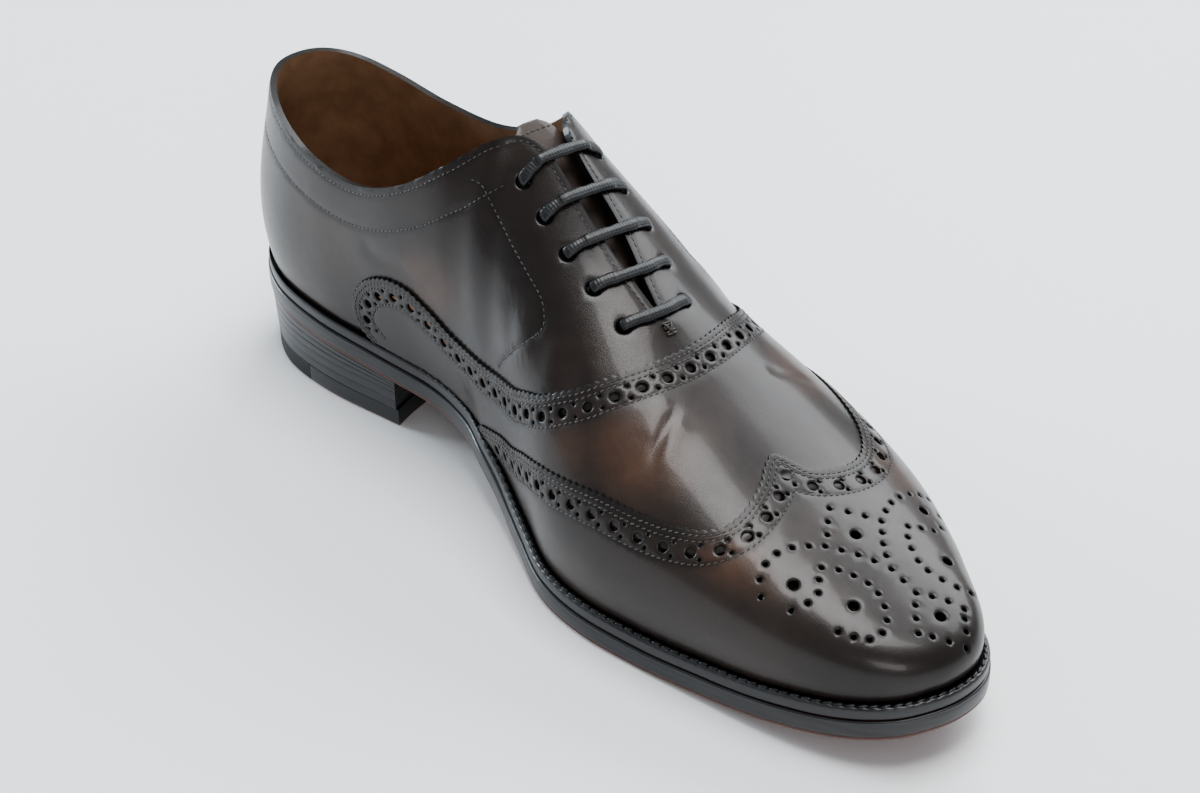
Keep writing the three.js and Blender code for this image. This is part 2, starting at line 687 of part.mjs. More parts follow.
function makeLace() {
  const path = new THREE.CatmullRomCurve3(laceRoute(), false, 'centripetal');
  const shape = new THREE.Shape();
  const corners = 6;
  for (let i = 0; i < corners; i += 1) {
    const angle = (2 * Math.PI * i) / corners;
    const x = (LACE_THICK / 2) * Math.cos(angle);
    const y = (LACE_THICK / 2) * Math.sin(angle);
    if (i === 0) shape.moveTo(x, y);
    else shape.lineTo(x, y);
  }
  shape.closePath();
  const geometry = new THREE.ExtrudeGeometry(shape, {
    steps: 160, bevelEnabled: false, extrudePath: path,
  });
  geometry.deleteAttribute('normal');
  geometry.deleteAttribute('uv');
  return mergeVertices(geometry, 1e-4);
}

// Assembly.

const finish = (color, roughness, metalness = 0) => new THREE.MeshStandardMaterial({
  color, roughness, metalness,
});
const MATERIALS = {
  upper: finish(0x3a2b24, 0.42),
  vamp: finish(0x49352b, 0.4),
  cap: finish(0x35261f, 0.38),
  tongue: finish(0x2c211c, 0.6),
  lace: finish(0x14161a, 0.65),
  sole: finish(0x6a2418, 0.3),
  edge: finish(0x17171a, 0.45),
  insole: finish(0x9a7350, 0.7),
  rubber: finish(0x1c1c1e, 0.8),
};

const shoe = new THREE.Group();
shoe.name = 'shoe';

function place(name, geometry, material) {
  const mesh = new THREE.Mesh(geometry, material);
  mesh.name = name;
  shoe.add(mesh);
}

const topPiece = makeTopPiece();
place('outsole', makeOutsole(), MATERIALS.sole);
place('welt', makeWelt(), MATERIALS.edge);
place('heel_stack', makeHeelStack(), MATERIALS.edge);
place('top_piece', topPiece.leather, MATERIALS.sole);
place('top_piece_rubber', topPiece.rubber, MATERIALS.rubber);
place('insole', makeInsole(), MATERIALS.insole);
place('upper', makeUpper(), MATERIALS.upper);
place('vamp', makeVamp(), MATERIALS.vamp);
place('wing_cap', makeWingCap(), MATERIALS.cap);
place('tongue', makeTongue(), MATERIALS.tongue);
place('lace', makeLace(), MATERIALS.lace);

// The origin is the middle of the footprint, on the floor.
const bounds = new THREE.Box3().setFromObject(shoe);
const centre = bounds.getCenter(new THREE.Vector3());
shoe.position.set(-centre.x, -centre.y, -bounds.min.z);
shoe.updateMatrixWorld(true);

export default shoe;
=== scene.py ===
# %% [markdown]
# # A wing-cap shoe in leather
# The shoe is built the way a shoemaker builds it: a last first, then leather panels cut flat and
# laid on it, seams, a lace, a welt, a sole and a stacked heel.

# %% Load the frame
import math
import bmesh
import bpy
import numpy as np
from mathutils import Matrix, Vector
from mathutils.bvhtree import BVHTree
from mathutils.geometry import delaunay_2d_cdt


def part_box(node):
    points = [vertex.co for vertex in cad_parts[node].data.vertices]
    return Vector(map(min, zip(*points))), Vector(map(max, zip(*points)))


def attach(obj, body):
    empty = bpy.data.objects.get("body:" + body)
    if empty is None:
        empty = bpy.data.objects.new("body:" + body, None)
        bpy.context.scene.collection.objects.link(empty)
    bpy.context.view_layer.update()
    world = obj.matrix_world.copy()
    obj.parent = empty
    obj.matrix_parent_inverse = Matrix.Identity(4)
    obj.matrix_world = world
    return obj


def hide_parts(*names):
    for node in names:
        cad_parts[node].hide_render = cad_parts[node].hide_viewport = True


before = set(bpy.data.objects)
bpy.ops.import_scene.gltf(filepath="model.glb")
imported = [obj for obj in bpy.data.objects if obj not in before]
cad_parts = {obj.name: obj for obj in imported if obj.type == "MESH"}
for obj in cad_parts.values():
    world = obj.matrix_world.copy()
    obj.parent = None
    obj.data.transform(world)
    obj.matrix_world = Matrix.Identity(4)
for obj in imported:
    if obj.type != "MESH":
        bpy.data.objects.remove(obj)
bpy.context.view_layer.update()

# %% [markdown]
# ## The last
# A last is the foot-shaped block that the upper is pulled over. It is stored as twenty sections
# from the heel to the toe, in shares of the shoe's own sizes, and every leather surface is a
# function of it. A smooth curve through the sections gives as fine a surface as we want.

# %% Sizes and sections
LENGTH, BALL_WIDTH, HEEL_HEIGHT, TOE_SPRING, FACING_HEIGHT, LEDGE = 292.0, 100.0, 25.0, 11.5, 112.0, 5.0
SOLE_THICK, WELT_THICK, FIT, INSOLE_THICK, WALL = 6.5, 3.8, 0.3, 3.0, 2.2
WELT_LOW = SOLE_THICK + FIT
SEAT = WELT_LOW + WELT_THICK - 0.1
THROAT, TIP = 11, 19
INNER, OUTER = 0, 1
# along, inner, outer, ledge, topAlong, topInner, topOuter, height, rise, swell, reach, drop
SECTIONS = np.array([
    (0.000, -0.030, -0.030, 0.4, 0.022, -0.030, -0.030, 0.857, 0.36, 0.070, 0.03, 0.18),
    (0.010, -0.150, 0.090, 0.4, 0.029, -0.120, 0.060, 0.853, 0.36, 0.065, 0.03, 0.18),
    (0.041, -0.250, 0.195, 0.4, 0.055, -0.200, 0.140, 0.835, 0.36, 0.055, 0.03, 0.17),
    (0.096, -0.315, 0.270, 0.4, 0.101, -0.260, 0.205, 0.795, 0.36, 0.045, 0.03, 0.16),
    (0.171, -0.320, 0.305, 0.4, 0.164, -0.290, 0.250, 0.754, 0.38, 0.035, 0.03, 0.14),
    (0.257, -0.280, 0.320, 0.4, 0.240, -0.295, 0.275, 0.750, 0.38, 0.040, 0.03, 0.14),
    (0.329, -0.245, 0.340, 0.4, 0.308, -0.280, 0.270, 0.813, 0.40, 0.060, 0.04, 0.16),
    (0.387, -0.260, 0.365, 0.5, 0.368, -0.230, 0.225, 0.920, 0.42, 0.070, 0.07, 0.16),
    (0.435, -0.310, 0.385, 0.7, 0.406, -0.135, 0.125, 1.000, 0.44, 0.060, 0.13, 0.11),
    (0.479, -0.350, 0.410, 0.9, 0.437, -0.045, 0.045, 0.991, 0.46, 0.060, 0.20, 0.07),
    (0.534, -0.415, 0.445, 1.0, 0.517, -0.042, 0.034, 0.821, 0.48, 0.055, 0.28, 0.05),
    (0.596, -0.485, 0.480, 1.0, 0.606, -0.035, -0.035, 0.665, 0.50, 0.055, 0.36, 0.035),
    (0.658, -0.503, 0.500, 1.0, 0.675, -0.035, -0.035, 0.558, 0.54, 0.050, 0.40, 0.018),
    (0.726, -0.480, 0.495, 1.0, 0.738, -0.040, -0.040, 0.478, 0.58, 0.045, 0.40, 0.009),
    (0.798, -0.443, 0.440, 1.0, 0.788, -0.045, -0.045, 0.422, 0.60, 0.040, 0.38, 0.005),
    (0.870, -0.403, 0.325, 1.0, 0.830, -0.050, -0.050, 0.386, 0.62, 0.035, 0.34, 0.005),
    (0.932, -0.343, 0.205, 1.0, 0.860, -0.055, -0.055, 0.364, 0.64, 0.025, 0.29, 0.005),
    (0.973, -0.260, 0.115, 1.0, 0.878, -0.060, -0.060, 0.3513, 0.64, 0.020, 0.26, 0.005),
    (0.994, -0.155, 0.030, 1.0, 0.887, -0.060, -0.060, 0.3450, 0.64, 0.020, 0.25, 0.005),
    (1.000, -0.060, -0.060, 1.0, 0.890, -0.060, -0.060, 0.3429, 0.64, 0.020, 0.25, 0.005),
])
SIZES = np.array([LENGTH, BALL_WIDTH, BALL_WIDTH, LEDGE, LENGTH, BALL_WIDTH, BALL_WIDTH,
                  FACING_HEIGHT, 1.0, BALL_WIDTH, BALL_WIDTH, FACING_HEIGHT])
# along, share of the heel's height, share of the toe spring
TREAD = np.array([
    (0.000, 1.00, 0.00), (0.274, 0.68, 0.00), (0.343, 0.59, 0.00), (0.428, 0.48, 0.00),
    (0.514, 0.17, 0.00), (0.589, 0.02, 0.00), (0.634, 0.00, 0.00), (0.719, 0.00, 0.00),
    (0.805, 0.00, 0.13), (0.897, 0.00, 0.47), (1.000, 0.00, 1.00),
])


def side_rows(side):
    """The table of one side with two sections of the other side past each end."""
    mine = [0, 1 + side, 3, 4, 5 + side, 7, 8, 9, 10, 11]
    other = [0, 2 - side, 3, 4, 6 - side, 7, 8, 9, 10, 11]
    table = SECTIONS * SIZES
    a, b = table[:, mine], table[:, other]
    return np.vstack([b[2:3], b[1:2], a, b[-2:-1], b[-3:-2]])


ROWS = [side_rows(INNER), side_rows(OUTER)]


def section(at, side, slope=False):
    """Catmull-Rom through the sections: x, y, ledge, topX, topY, topZ, rise, swell, reach, drop."""
    at = np.asarray(at, float)
    k = np.clip(np.floor(at).astype(int), -1, TIP)
    t = (at - k)[:, None]
    a, b, c, d = (ROWS[side][k + j] for j in (1, 2, 3, 4))
    if slope:
        return 0.5 * ((c - a) + 2 * t * (2 * a - 5 * b + 4 * c - d) + 3 * t * t * (3 * (b - c) + d - a))
    return b + 0.5 * t * (c - a + t * (2 * a - 5 * b + 4 * c - d + t * (3 * (b - c) + d - a)))


def underside(x):
    """Height of the sole's underside at x, without overshoot between the tread's rows."""
    px, pz = TREAD[:, 0] * LENGTH, TREAD[:, 1] * HEEL_HEIGHT + TREAD[:, 2] * TOE_SPRING
    x = np.clip(x, px[0], px[-1])
    run = np.diff(px)
    m = np.diff(pz) / run
    t = np.empty(len(px))
    t[0], t[-1] = m[0], m[-1]
    a, b = m[:-1], m[1:]
    t[1:-1] = np.where(a * b <= 0, 0, 2 * a * b / np.where(a + b == 0, 1, a + b))
    k = np.clip(np.searchsorted(px, x, side="right") - 1, 0, len(px) - 2)
    h, u = run[k], (x - px[k]) / run[k]
    return (pz[k] * (1 + 2 * u) * (1 - u) ** 2 + t[k] * h * u * (1 - u) ** 2
            + pz[k + 1] * u * u * (3 - 2 * u) + t[k + 1] * h * u * u * (u - 1))


def outline(at, side, inset=0.0):
    """The sole's edge in plan and its outward direction, moved inwards by inset."""
    s, d = section(at, side), section(at, side, True)
    n = np.stack([d[:, 1], -d[:, 0]], 1) * (1 if side == INNER else -1)
    n /= np.linalg.norm(n, axis=1)[:, None]
    return s[:, :2] - n * np.reshape(inset, (-1, 1)), n


def wall(at, side, up):
    """The upper's outer surface: up is 0 at the welt and 1 at the collar, facing edge or ridge."""
    at, up = np.broadcast_arrays(np.asarray(at, float), np.asarray(up, float))
    at, up = at.ravel(), up.ravel()
    s, d = section(at, side), section(np.minimum(at, TIP - 0.02), side, True)
    _, n = outline(at, side)
    shared = (s[:, 4] + section(at, 1 - side)[:, 4]) / 2
    top = np.stack([s[:, 3], np.where(at >= THROAT, shared, s[:, 4]), s[:, 5]], 1)
    foot = np.stack([s[:, 0] - n[:, 0] * s[:, 2], s[:, 1] - n[:, 1] * s[:, 2], underside(s[:, 0]) + SEAT], 1)
    run = np.where(np.abs(d[:, 3]) > 1e-6, d[:, 3], 1)
    fall = np.where(np.abs(d[:, 3]) > 1e-6, d[:, 5] / run, 0) * np.clip((at - THROAT + 2) / 2, 0, 1)
    rise, swell, reach, drop = s[:, 6], s[:, 7], s[:, 8], s[:, 9]
    low = foot + np.stack([n[:, 0] * swell, n[:, 1] * swell, rise * (top[:, 2] - foot[:, 2])], 1)
    high = top + np.stack([n[:, 0] * reach, n[:, 1] * reach, n[:, 0] * reach * fall - drop], 1)
    u = up[:, None]
    q = 1 - u
    return q ** 3 * foot + 3 * q * q * u * low + 3 * q * u * u * high + u ** 3 * top


halves = np.arange(0, TIP + 0.25, 0.5)
plan = np.vstack([outline(halves, side)[0] for side in (INNER, OUTER)])
sole_low, sole_high = (np.array(c) * 1000 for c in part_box("outsole"))
SHIFT = np.array([*((sole_low + sole_high)[:2] / 2 - (plan.min(0) + plan.max(0)) / 2), 0.0])
print("shift from the last to the frame, mm", SHIFT.round(2))

# %% [markdown]
# ## The camera
# It stands where the photograph was taken from, seen from this shoe, so the perspective is the
# same, and it is turned and zoomed to frame the one shoe.

# %% Camera
CAMERA_PLACE = np.array([522.0, -337.9, 384.4])
AIM = np.array([149.0, -3.0, 36.0])
ROLL = math.radians(-0.5)
LENS = 63.0
camera = bpy.data.objects.new("camera", bpy.data.cameras.new("camera"))
bpy.context.scene.collection.objects.link(camera)
place, aim = (Vector((p + SHIFT) / 1000) for p in (CAMERA_PLACE, AIM))
look = (aim - place).to_track_quat("-Z", "Y").to_matrix().to_4x4()
camera.matrix_world = Matrix.Translation(place) @ look @ Matrix.Rotation(ROLL, 4, "Z")
camera.data.lens = LENS
camera.data.sensor_width = 36
camera.data.clip_start = 0.01
bpy.context.scene.camera = camera
print("camera at", [round(c, 4) for c in place])

# %% [markdown]
# ## Small helpers
# Meshes are made from arrays of points in millimetres on the last, and moved to the frame in
# metres. A panel or a ring is a grid of points, and a named attribute can carry a value for the
# material, such as how near a seam is.

# %% Mesh helpers
def unit(v):
    return v / np.maximum(np.linalg.norm(v, axis=-1, keepdims=True), 1e-12)


def make_piece(name, points, faces, materials=(), face_material=None, smooth=40, values=None):
    """One mesh object at the origin. Points are in millimetres on the last."""
    mesh = bpy.data.meshes.new(name)
    verts = (np.asarray(points, float) + SHIFT) / 1000
    mesh.from_pydata(verts.tolist(), [], [tuple(int(i) for i in f) for f in faces])
    for key, data in (values or {}).items():
        layer = mesh.attributes.new(key, "FLOAT", "POINT")
        layer.data.foreach_set("value", np.asarray(data, np.float32))
    for m in materials:
        mesh.materials.append(m)
    if face_material is not None:
        mesh.polygons.foreach_set("material_index", np.asarray(face_material, np.int32))
    mesh.polygons.foreach_set("use_smooth", np.ones(len(mesh.polygons), bool))
    mesh.validate()
    if smooth:
        mesh.set_sharp_from_angle(angle=math.radians(smooth))
    piece = bpy.data.objects.new(name, mesh)
    bpy.context.scene.collection.objects.link(piece)
    return piece


def grid_faces(rows, columns, start=0, wrap_rows=False, wrap_columns=False, flip=False):
    """Quads of a grid of rows x columns points."""
    i = np.arange(rows if wrap_rows else rows - 1)
    j = np.arange(columns if wrap_columns else columns - 1)
    i, j = (g.ravel() for g in np.meshgrid(i, j, indexing="ij"))
    i2, j2 = (i + 1) % rows, (j + 1) % columns
    quads = np.stack([i * columns + j, i2 * columns + j, i2 * columns + j2, i * columns + j2], 1) + start
    return (quads[:, ::-1] if flip else quads).tolist()


def face_out(piece):
    """Turns a closed mesh's faces outwards, after its doubles are merged."""
    bm = bmesh.new()
    bm.from_mesh(piece.data)
    bmesh.ops.remove_doubles(bm, verts=bm.verts, dist=2e-6)
    bmesh.ops.dissolve_degenerate(bm, edges=bm.edges, dist=1e-7)
    bmesh.ops.recalc_face_normals(bm, faces=bm.faces)
    bm.to_mesh(piece.data)
    bm.free()
    return piece


def finish_piece(piece, slot, *nodes):
    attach(piece, "root")
    if nodes:
        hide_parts(*nodes)
    piece.data.calc_loop_triangles()
    print(piece.name, len(piece.data.loop_triangles), "triangles")
    return piece


def curve_through(knots, step):
    """Catmull-Rom through knots of any width, with about one point for each step of the knots."""
    p = np.asarray(knots, float)
    p = np.vstack([2 * p[0] - p[1], p, 2 * p[-1] - p[-2]])
    out = []
    for k in range(1, len(p) - 2):
        a, b, c, d = p[k - 1:k + 3]
        t = np.linspace(0, 1, step, endpoint=False)[:, None]
        out.append(b + 0.5 * t * (c - a + t * (2 * a - 5 * b + 4 * c - d + t * (3 * (b - c) + d - a))))
    return np.vstack(out + [p[-2:-1]])


def even(points, spacing):
    """The same line with even spacing."""
    length = np.concatenate([[0], np.cumsum(np.linalg.norm(np.diff(points, axis=0), axis=1))])
    count = max(2, int(round(length[-1] / spacing)) + 1)
    want = np.linspace(0, length[-1], count)
    return np.stack([np.interp(want, length, points[:, c]) for c in range(points.shape[1])], 1)

# %% [markdown]
# ## Flat patterns
# A shoemaker cuts the panels flat and then pulls them over the last. Here each wall line of the
# last is rolled out flat from the ridge, which gives a flat chart of the whole forepart with no
# seam in it. Panels are drawn and cut on the chart, and laid back on the last with a thickness.

# %% Chart of the last
stations = np.concatenate([np.arange(0, 17, 0.06), np.arange(17, TIP, 0.04), [THROAT, TIP]])
stations = np.unique(stations.round(4))
ups = np.linspace(0, 1, 72)
HALF = len(ups) - 1
INNER_COLUMNS, OUTER_COLUMNS = slice(0, HALF + 1), slice(HALF + 1, 2 * HALF + 2)
inner_wall = wall(stations[:, None], INNER, ups[None, :]).reshape(len(stations), -1, 3)
outer_wall = wall(stations[:, None], OUTER, ups[None, :]).reshape(len(stations), -1, 3)[:, ::-1]
closed = stations >= THROAT

# Past the throat the ridge is stroked smooth, as leather pulled over it would be.
joined = np.concatenate([inner_wall, outer_wall[:, 1:]], 1)
across_ridge = np.linspace(0, 2, 2 * HALF + 1)
weight = np.clip(1 - np.abs(across_ridge - 1) / 0.16, 0, 1)
weight = weight * np.clip((stations[:, None] - THROAT) / 0.5, 0, 1)
weight = weight * np.clip((15 - stations[:, None]) / 1.5, 0, 1)
for _ in range(90):
    joined[:, 1:-1] += 0.5 * weight[:, 1:-1, None] * ((joined[:, :-2] + joined[:, 2:]) / 2 - joined[:, 1:-1])


def split(rows):
    return np.concatenate([rows[:, :HALF + 1], rows[:, HALF:]], 1)


surface = np.where(closed[:, None, None], split(joined), np.concatenate([inner_wall, outer_wall], 1))


def facing_out(rows):
    return unit(np.cross(np.gradient(rows, axis=0), np.gradient(rows, axis=1)))


outward = np.concatenate([facing_out(surface[:, INNER_COLUMNS]), facing_out(surface[:, OUTER_COLUMNS])], 1)
outward = np.where(closed[:, None, None], split(facing_out(joined)), outward)
for end in (0, -1):
    outward[end] = unit(outward[end] + outward[end, ::-1])
turn = np.clip((stations - 10) / 3, 0, 1) + np.clip((4.5 - stations) / 2.5, 0, 1)
chart = np.zeros(surface.shape[:2] + (2,))
for side, columns, top in ((INNER, INNER_COLUMNS, HALF), (OUTER, OUTER_COLUMNS, HALF + 1)):
    half = surface[:, columns]
    gaps = np.linalg.norm(np.diff(half, axis=1), axis=2)
    run = np.concatenate([np.zeros((len(half), 1)), np.cumsum(gaps, 1)], 1)
    down = run[:, -1:] - run if side == INNER else run
    _, n = outline(stations, side)
    angle = np.arctan2(n[:, 0], np.abs(n[:, 1])) * turn
    direction = np.stack([np.sin(angle), (-1 if side == INNER else 1) * np.cos(angle)], 1)
    chart[:, columns] = surface[:, top, None, :2] + direction[:, None] * down[:, :, None]

cells = np.array(grid_faces(*surface.shape[:2]))
cells = cells[cells[:, 0] % (2 * HALF + 2) != HALF]
triangles = np.vstack([cells[:, [0, 1, 2]], cells[:, [0, 2, 3]]])
flat3 = np.concatenate([chart.reshape(-1, 2), np.zeros((chart.shape[0] * chart.shape[1], 1))], 1)
solid3, normal3 = surface.reshape(-1, 3), outward.reshape(-1, 3)
flat_tree = BVHTree.FromPolygons(flat3.tolist(), triangles.tolist())
solid_tree = BVHTree.FromPolygons(solid3.tolist(), triangles.tolist())
foot_points = surface[:, [0, -1]].reshape(-1, 3)
print("chart", surface.shape[:2], "spans", np.ptp(flat3, axis=0).round(1))


def carry(points, tree, source, targets):
    """Finds each point's triangle in one mesh and carries it over to the same triangle of others."""
    spots = [tree.find_nearest(Vector(p)) for p in points.tolist()]
    where = np.array([s[0][:] for s in spots])
    tri = triangles[[s[2] for s in spots]]
    a, b, c = (source[tri[:, k]] for k in range(3))
    v0, v1, v2 = b - a, c - a, where - a
    d00, d01, d11 = (v0 * v0).sum(1), (v0 * v1).sum(1), (v1 * v1).sum(1)
    d20, d21 = (v2 * v0).sum(1), (v2 * v1).sum(1)
    den = np.where(np.abs(d00 * d11 - d01 * d01) < 1e-15, 1e-15, d00 * d11 - d01 * d01)
    v = np.clip((d11 * d20 - d01 * d21) / den, 0, 1)
    w = np.clip((d00 * d21 - d01 * d20) / den, 0, 1)
    return [t[tri[:, 0]] * (1 - v - w)[:, None] + t[tri[:, 1]] * v[:, None] + t[tri[:, 2]] * w[:, None]
            for t in targets]


def lay(flat):
    """Points of the chart to the last: places and outward directions."""
    p = np.concatenate([flat, np.zeros((len(flat), 1))], 1)
    places, normals = carry(p, flat_tree, flat3, (solid3, normal3))
    return places, unit(normals)


def unroll(places):
    """Points near the last to the chart."""
    return carry(places, solid_tree, solid3, (flat3,))[0][:, :2]


def on_last(knots):
    """Station and up (0 to 1 inner, then 1 to 2 outer) to places on the last, by the chart's own grid."""
    knots = np.asarray(knots, float)
    up = np.clip(knots[:, 1], 0, 2)
    i = np.interp(knots[:, 0], stations, np.arange(len(stations)))
    j = np.where(up <= 1, up * HALF, HALF + 1 + (up - 1) * HALF)
    i0 = np.clip(i.astype(int), 0, len(stations) - 2)
    j0 = np.where(up <= 1, np.clip(j.astype(int), 0, HALF - 1), np.clip(j.astype(int), HALF + 1, 2 * HALF))
    a, b = (i - i0)[:, None], (j - j0)[:, None]
    return ((surface[i0, j0] * (1 - a) + surface[i0 + 1, j0] * a) * (1 - b)
            + (surface[i0, j0 + 1] * (1 - a) + surface[i0 + 1, j0 + 1] * a) * b)

# %% Seam lines on the last
def across(inner, outer):
    """Knots of an edge that crosses the ridge, as station and up from 0 to 2."""
    return [(s, u) for s, u in inner] + [(s, 2 - u) for s, u in outer]


def seam(knots, spacing=0.5):
    return even(on_last(curve_through(knots, 14)), spacing)


def beside(line, distance, spacing=0.5):
    """The line moved sideways over the surface, to the left for a positive distance, without loops."""
    flat = unroll(line)
    places, normals = lay(flat)
    tangent = unit(np.gradient(places, axis=0))
    moved = places + unit(np.cross(normals, tangent)) * np.reshape(distance, (-1, 1))
    moved, _ = lay(unroll(moved))
    if np.ndim(distance) == 0:
        gap = np.linalg.norm(moved[:, None] - places[None], axis=2).min(1)
        moved = moved[gap > abs(distance) * 0.96 - 0.02]
        return even(moved, spacing)
    return moved


VAMP_EDGE = across(
    [(4.85, 0.0), (4.66, 0.10), (4.70, 0.25), (5.0, 0.40), (5.45, 0.47), (5.95, 0.45), (6.4, 0.37),
     (7.0, 0.28), (7.8, 0.24), (8.8, 0.25), (9.6, 0.32), (10.2, 0.41), (10.65, 0.50), (11.0, 0.63),
     (11.2, 0.76), (11.32, 0.88), (11.36, 1.0)],
    [(11.32, 0.88), (11.2, 0.76), (11.0, 0.63), (10.65, 0.50), (10.2, 0.41), (9.6, 0.32), (8.8, 0.25),
     (7.8, 0.24), (7.0, 0.28), (6.4, 0.37), (5.95, 0.45), (5.45, 0.47), (5.0, 0.40), (4.70, 0.25),
     (4.66, 0.10), (4.85, 0.0)])
WING_PEAK = (13.08, 1.0)
WING_INNER = [(7.6, 0.0), (8.0, 0.04), (8.8, 0.09), (9.6, 0.16), (10.3, 0.25), (10.95, 0.34), (11.6, 0.43),
              (12.1, 0.495), (12.55, 0.545), (12.95, 0.595), (13.3, 0.66), (13.5, 0.74), (13.52, 0.83),
              (13.4, 0.91), (13.2, 0.96), WING_PEAK]
WING_OUTER = [WING_PEAK, (13.28, 0.975), (13.6, 0.94), (13.7, 0.87), (13.62, 0.78), (13.42, 0.70),
              (13.0, 0.61), (12.55, 0.545), (12.1, 0.495), (11.6, 0.43), (10.95, 0.34), (10.3, 0.25),
              (9.6, 0.16), (8.8, 0.09), (8.0, 0.04), (7.6, 0.0)]
vamp_line = seam(VAMP_EDGE)
wing_line = np.vstack([seam(WING_INNER), seam([(s, 2 - u) for s, u in WING_OUTER])[1:]])
print("vamp edge", round(len(vamp_line) * 0.5), "mm, wing edge", round(len(wing_line) * 0.5), "mm")

# %% [markdown]
# ## Finishes
# Good leather is never one colour. The calf here is dyed dark by hand and burnished, so it is
# nearly black along edges and seams and opens to a warm brown on the rounded places. One small
# class lets the shader's sums be written as Python sums.

# %% Shader sums
class Wire:
    """A socket in a material's tree. Sums on wires add Math nodes."""

    def __init__(self, maker, socket):
        self.maker, self.socket = maker, socket

    def sum(self, operation, *others, clamp=False):
        node = self.maker.add("ShaderNodeMath", {"operation": operation, "use_clamp": clamp},
                              dict(enumerate((self, *others))))
        return self.maker.out(node, 0)

    def __add__(self, other): return self.sum("ADD", other)
    def __radd__(self, other): return self.sum("ADD", other)
    def __sub__(self, other): return self.sum("SUBTRACT", other)
    def __rsub__(self, other): return self.maker.wire(other).sum("SUBTRACT", self)
    def __mul__(self, other): return self.sum("MULTIPLY", other)
    def __rmul__(self, other): return self.sum("MULTIPLY", other)
    def __truediv__(self, other): return self.sum("DIVIDE", other)
    def __pow__(self, other): return self.sum("POWER", other)


class Finish:
    """A material: one method adds any node, with its settings first and then its sockets."""

    def __init__(self, name):
        self.material = bpy.data.materials.new(name)
        self.material.use_nodes = True
        self.tree = self.material.node_tree
        self.shader = self.tree.nodes["Principled BSDF"]
        self.place = self.out(self.add("ShaderNodeTexCoord"), "Object")

    def add(self, kind, settings=None, sockets=None):
        node = self.tree.nodes.new(kind)
        for key, value in (settings or {}).items():
            if key == "stops":
                ramp = node.color_ramp
                while len(ramp.elements) < len(value):
                    ramp.elements.new(0.5)
                for element, (at, colour) in zip(ramp.elements, value):
                    element.position = at
                    element.color = (*colour, 1) if len(colour) == 3 else colour
            else:
                setattr(node, key, value)
        for key, value in (sockets or {}).items():
            self.link(node.inputs[key], value)
        return node

    def link(self, socket, value):
        if isinstance(value, Wire):
            self.tree.links.new(value.socket, socket)
        else:
            if socket.type == "RGBA" and len(value) == 3:
                value = (*value, 1)
            socket.default_value = value

    def out(self, node, key):
        return Wire(self, node.outputs[key])

    def wire(self, number):
        node = self.add("ShaderNodeValue")
        node.outputs[0].default_value = number
        return self.out(node, 0)

    def noise(self, scale, detail=3.0, rough=0.5, stretch=None, twist=0.0):
        place = self.place
        if stretch:
            place = self.out(self.add("ShaderNodeMapping", {}, {"Vector": place, "Scale": stretch}), 0)
        node = self.add("ShaderNodeTexNoise", {}, {"Vector": place, "Scale": scale, "Detail": detail,
                                                   "Roughness": rough, "Distortion": twist})
        return self.out(node, "Fac")

    def ramp(self, value, low, high, start=0.0, end=1.0):
        node = self.add("ShaderNodeMapRange", {"interpolation_type": "SMOOTHSTEP"},
                        {"Value": value, "From Min": low, "From Max": high, "To Min": start, "To Max": end})
        return self.out(node, "Result")

    def mix(self, share, a, b, kind="MIX"):
        node = self.add("ShaderNodeMix", {"data_type": "RGBA", "blend_type": kind})
        self.link(node.inputs[0], share)
        self.link(node.inputs[6], a)
        self.link(node.inputs[7], b)
        return self.out(node, 2)

    def value_of(self, name):
        return self.out(self.add("ShaderNodeAttribute", {"attribute_name": name}), "Fac")

    def near(self, centre, radius, stretch=(1, 1, 1)):
        """1 at a place on the last in millimetres, falling softly to 0 at radius."""
        c = (np.array(centre, float) + SHIFT) / 1000
        away = self.add("ShaderNodeVectorMath", {"operation": "SUBTRACT"}, {0: self.place, 1: tuple(c)})
        scaled = self.add("ShaderNodeVectorMath", {"operation": "DIVIDE"},
                          {0: self.out(away, 0), 1: tuple(radius * s / 1000 for s in stretch)})
        length = self.out(self.add("ShaderNodeVectorMath", {"operation": "LENGTH"},
                                   {0: self.out(scaled, 0)}), "Value")
        return self.ramp(length, 0.1, 1.0, 1.0, 0.0)

    def bump(self, height, strength, distance, before=None):
        sockets = {"Height": height, "Strength": strength, "Distance": distance}
        if before is not None:
            sockets["Normal"] = before
        return self.out(self.add("ShaderNodeBump", {}, sockets), 0)

    def done(self, **sockets):
        names = {"colour": "Base Color", "rough": "Roughness", "metal": "Metallic", "coat": "Coat Weight",
                 "coat_rough": "Coat Roughness", "normal": "Normal", "sheen": "Sheen Weight",
                 "specular": "Specular IOR Level"}
        for key, value in sockets.items():
            self.link(self.shader.inputs[names[key]], value)
        return self.material


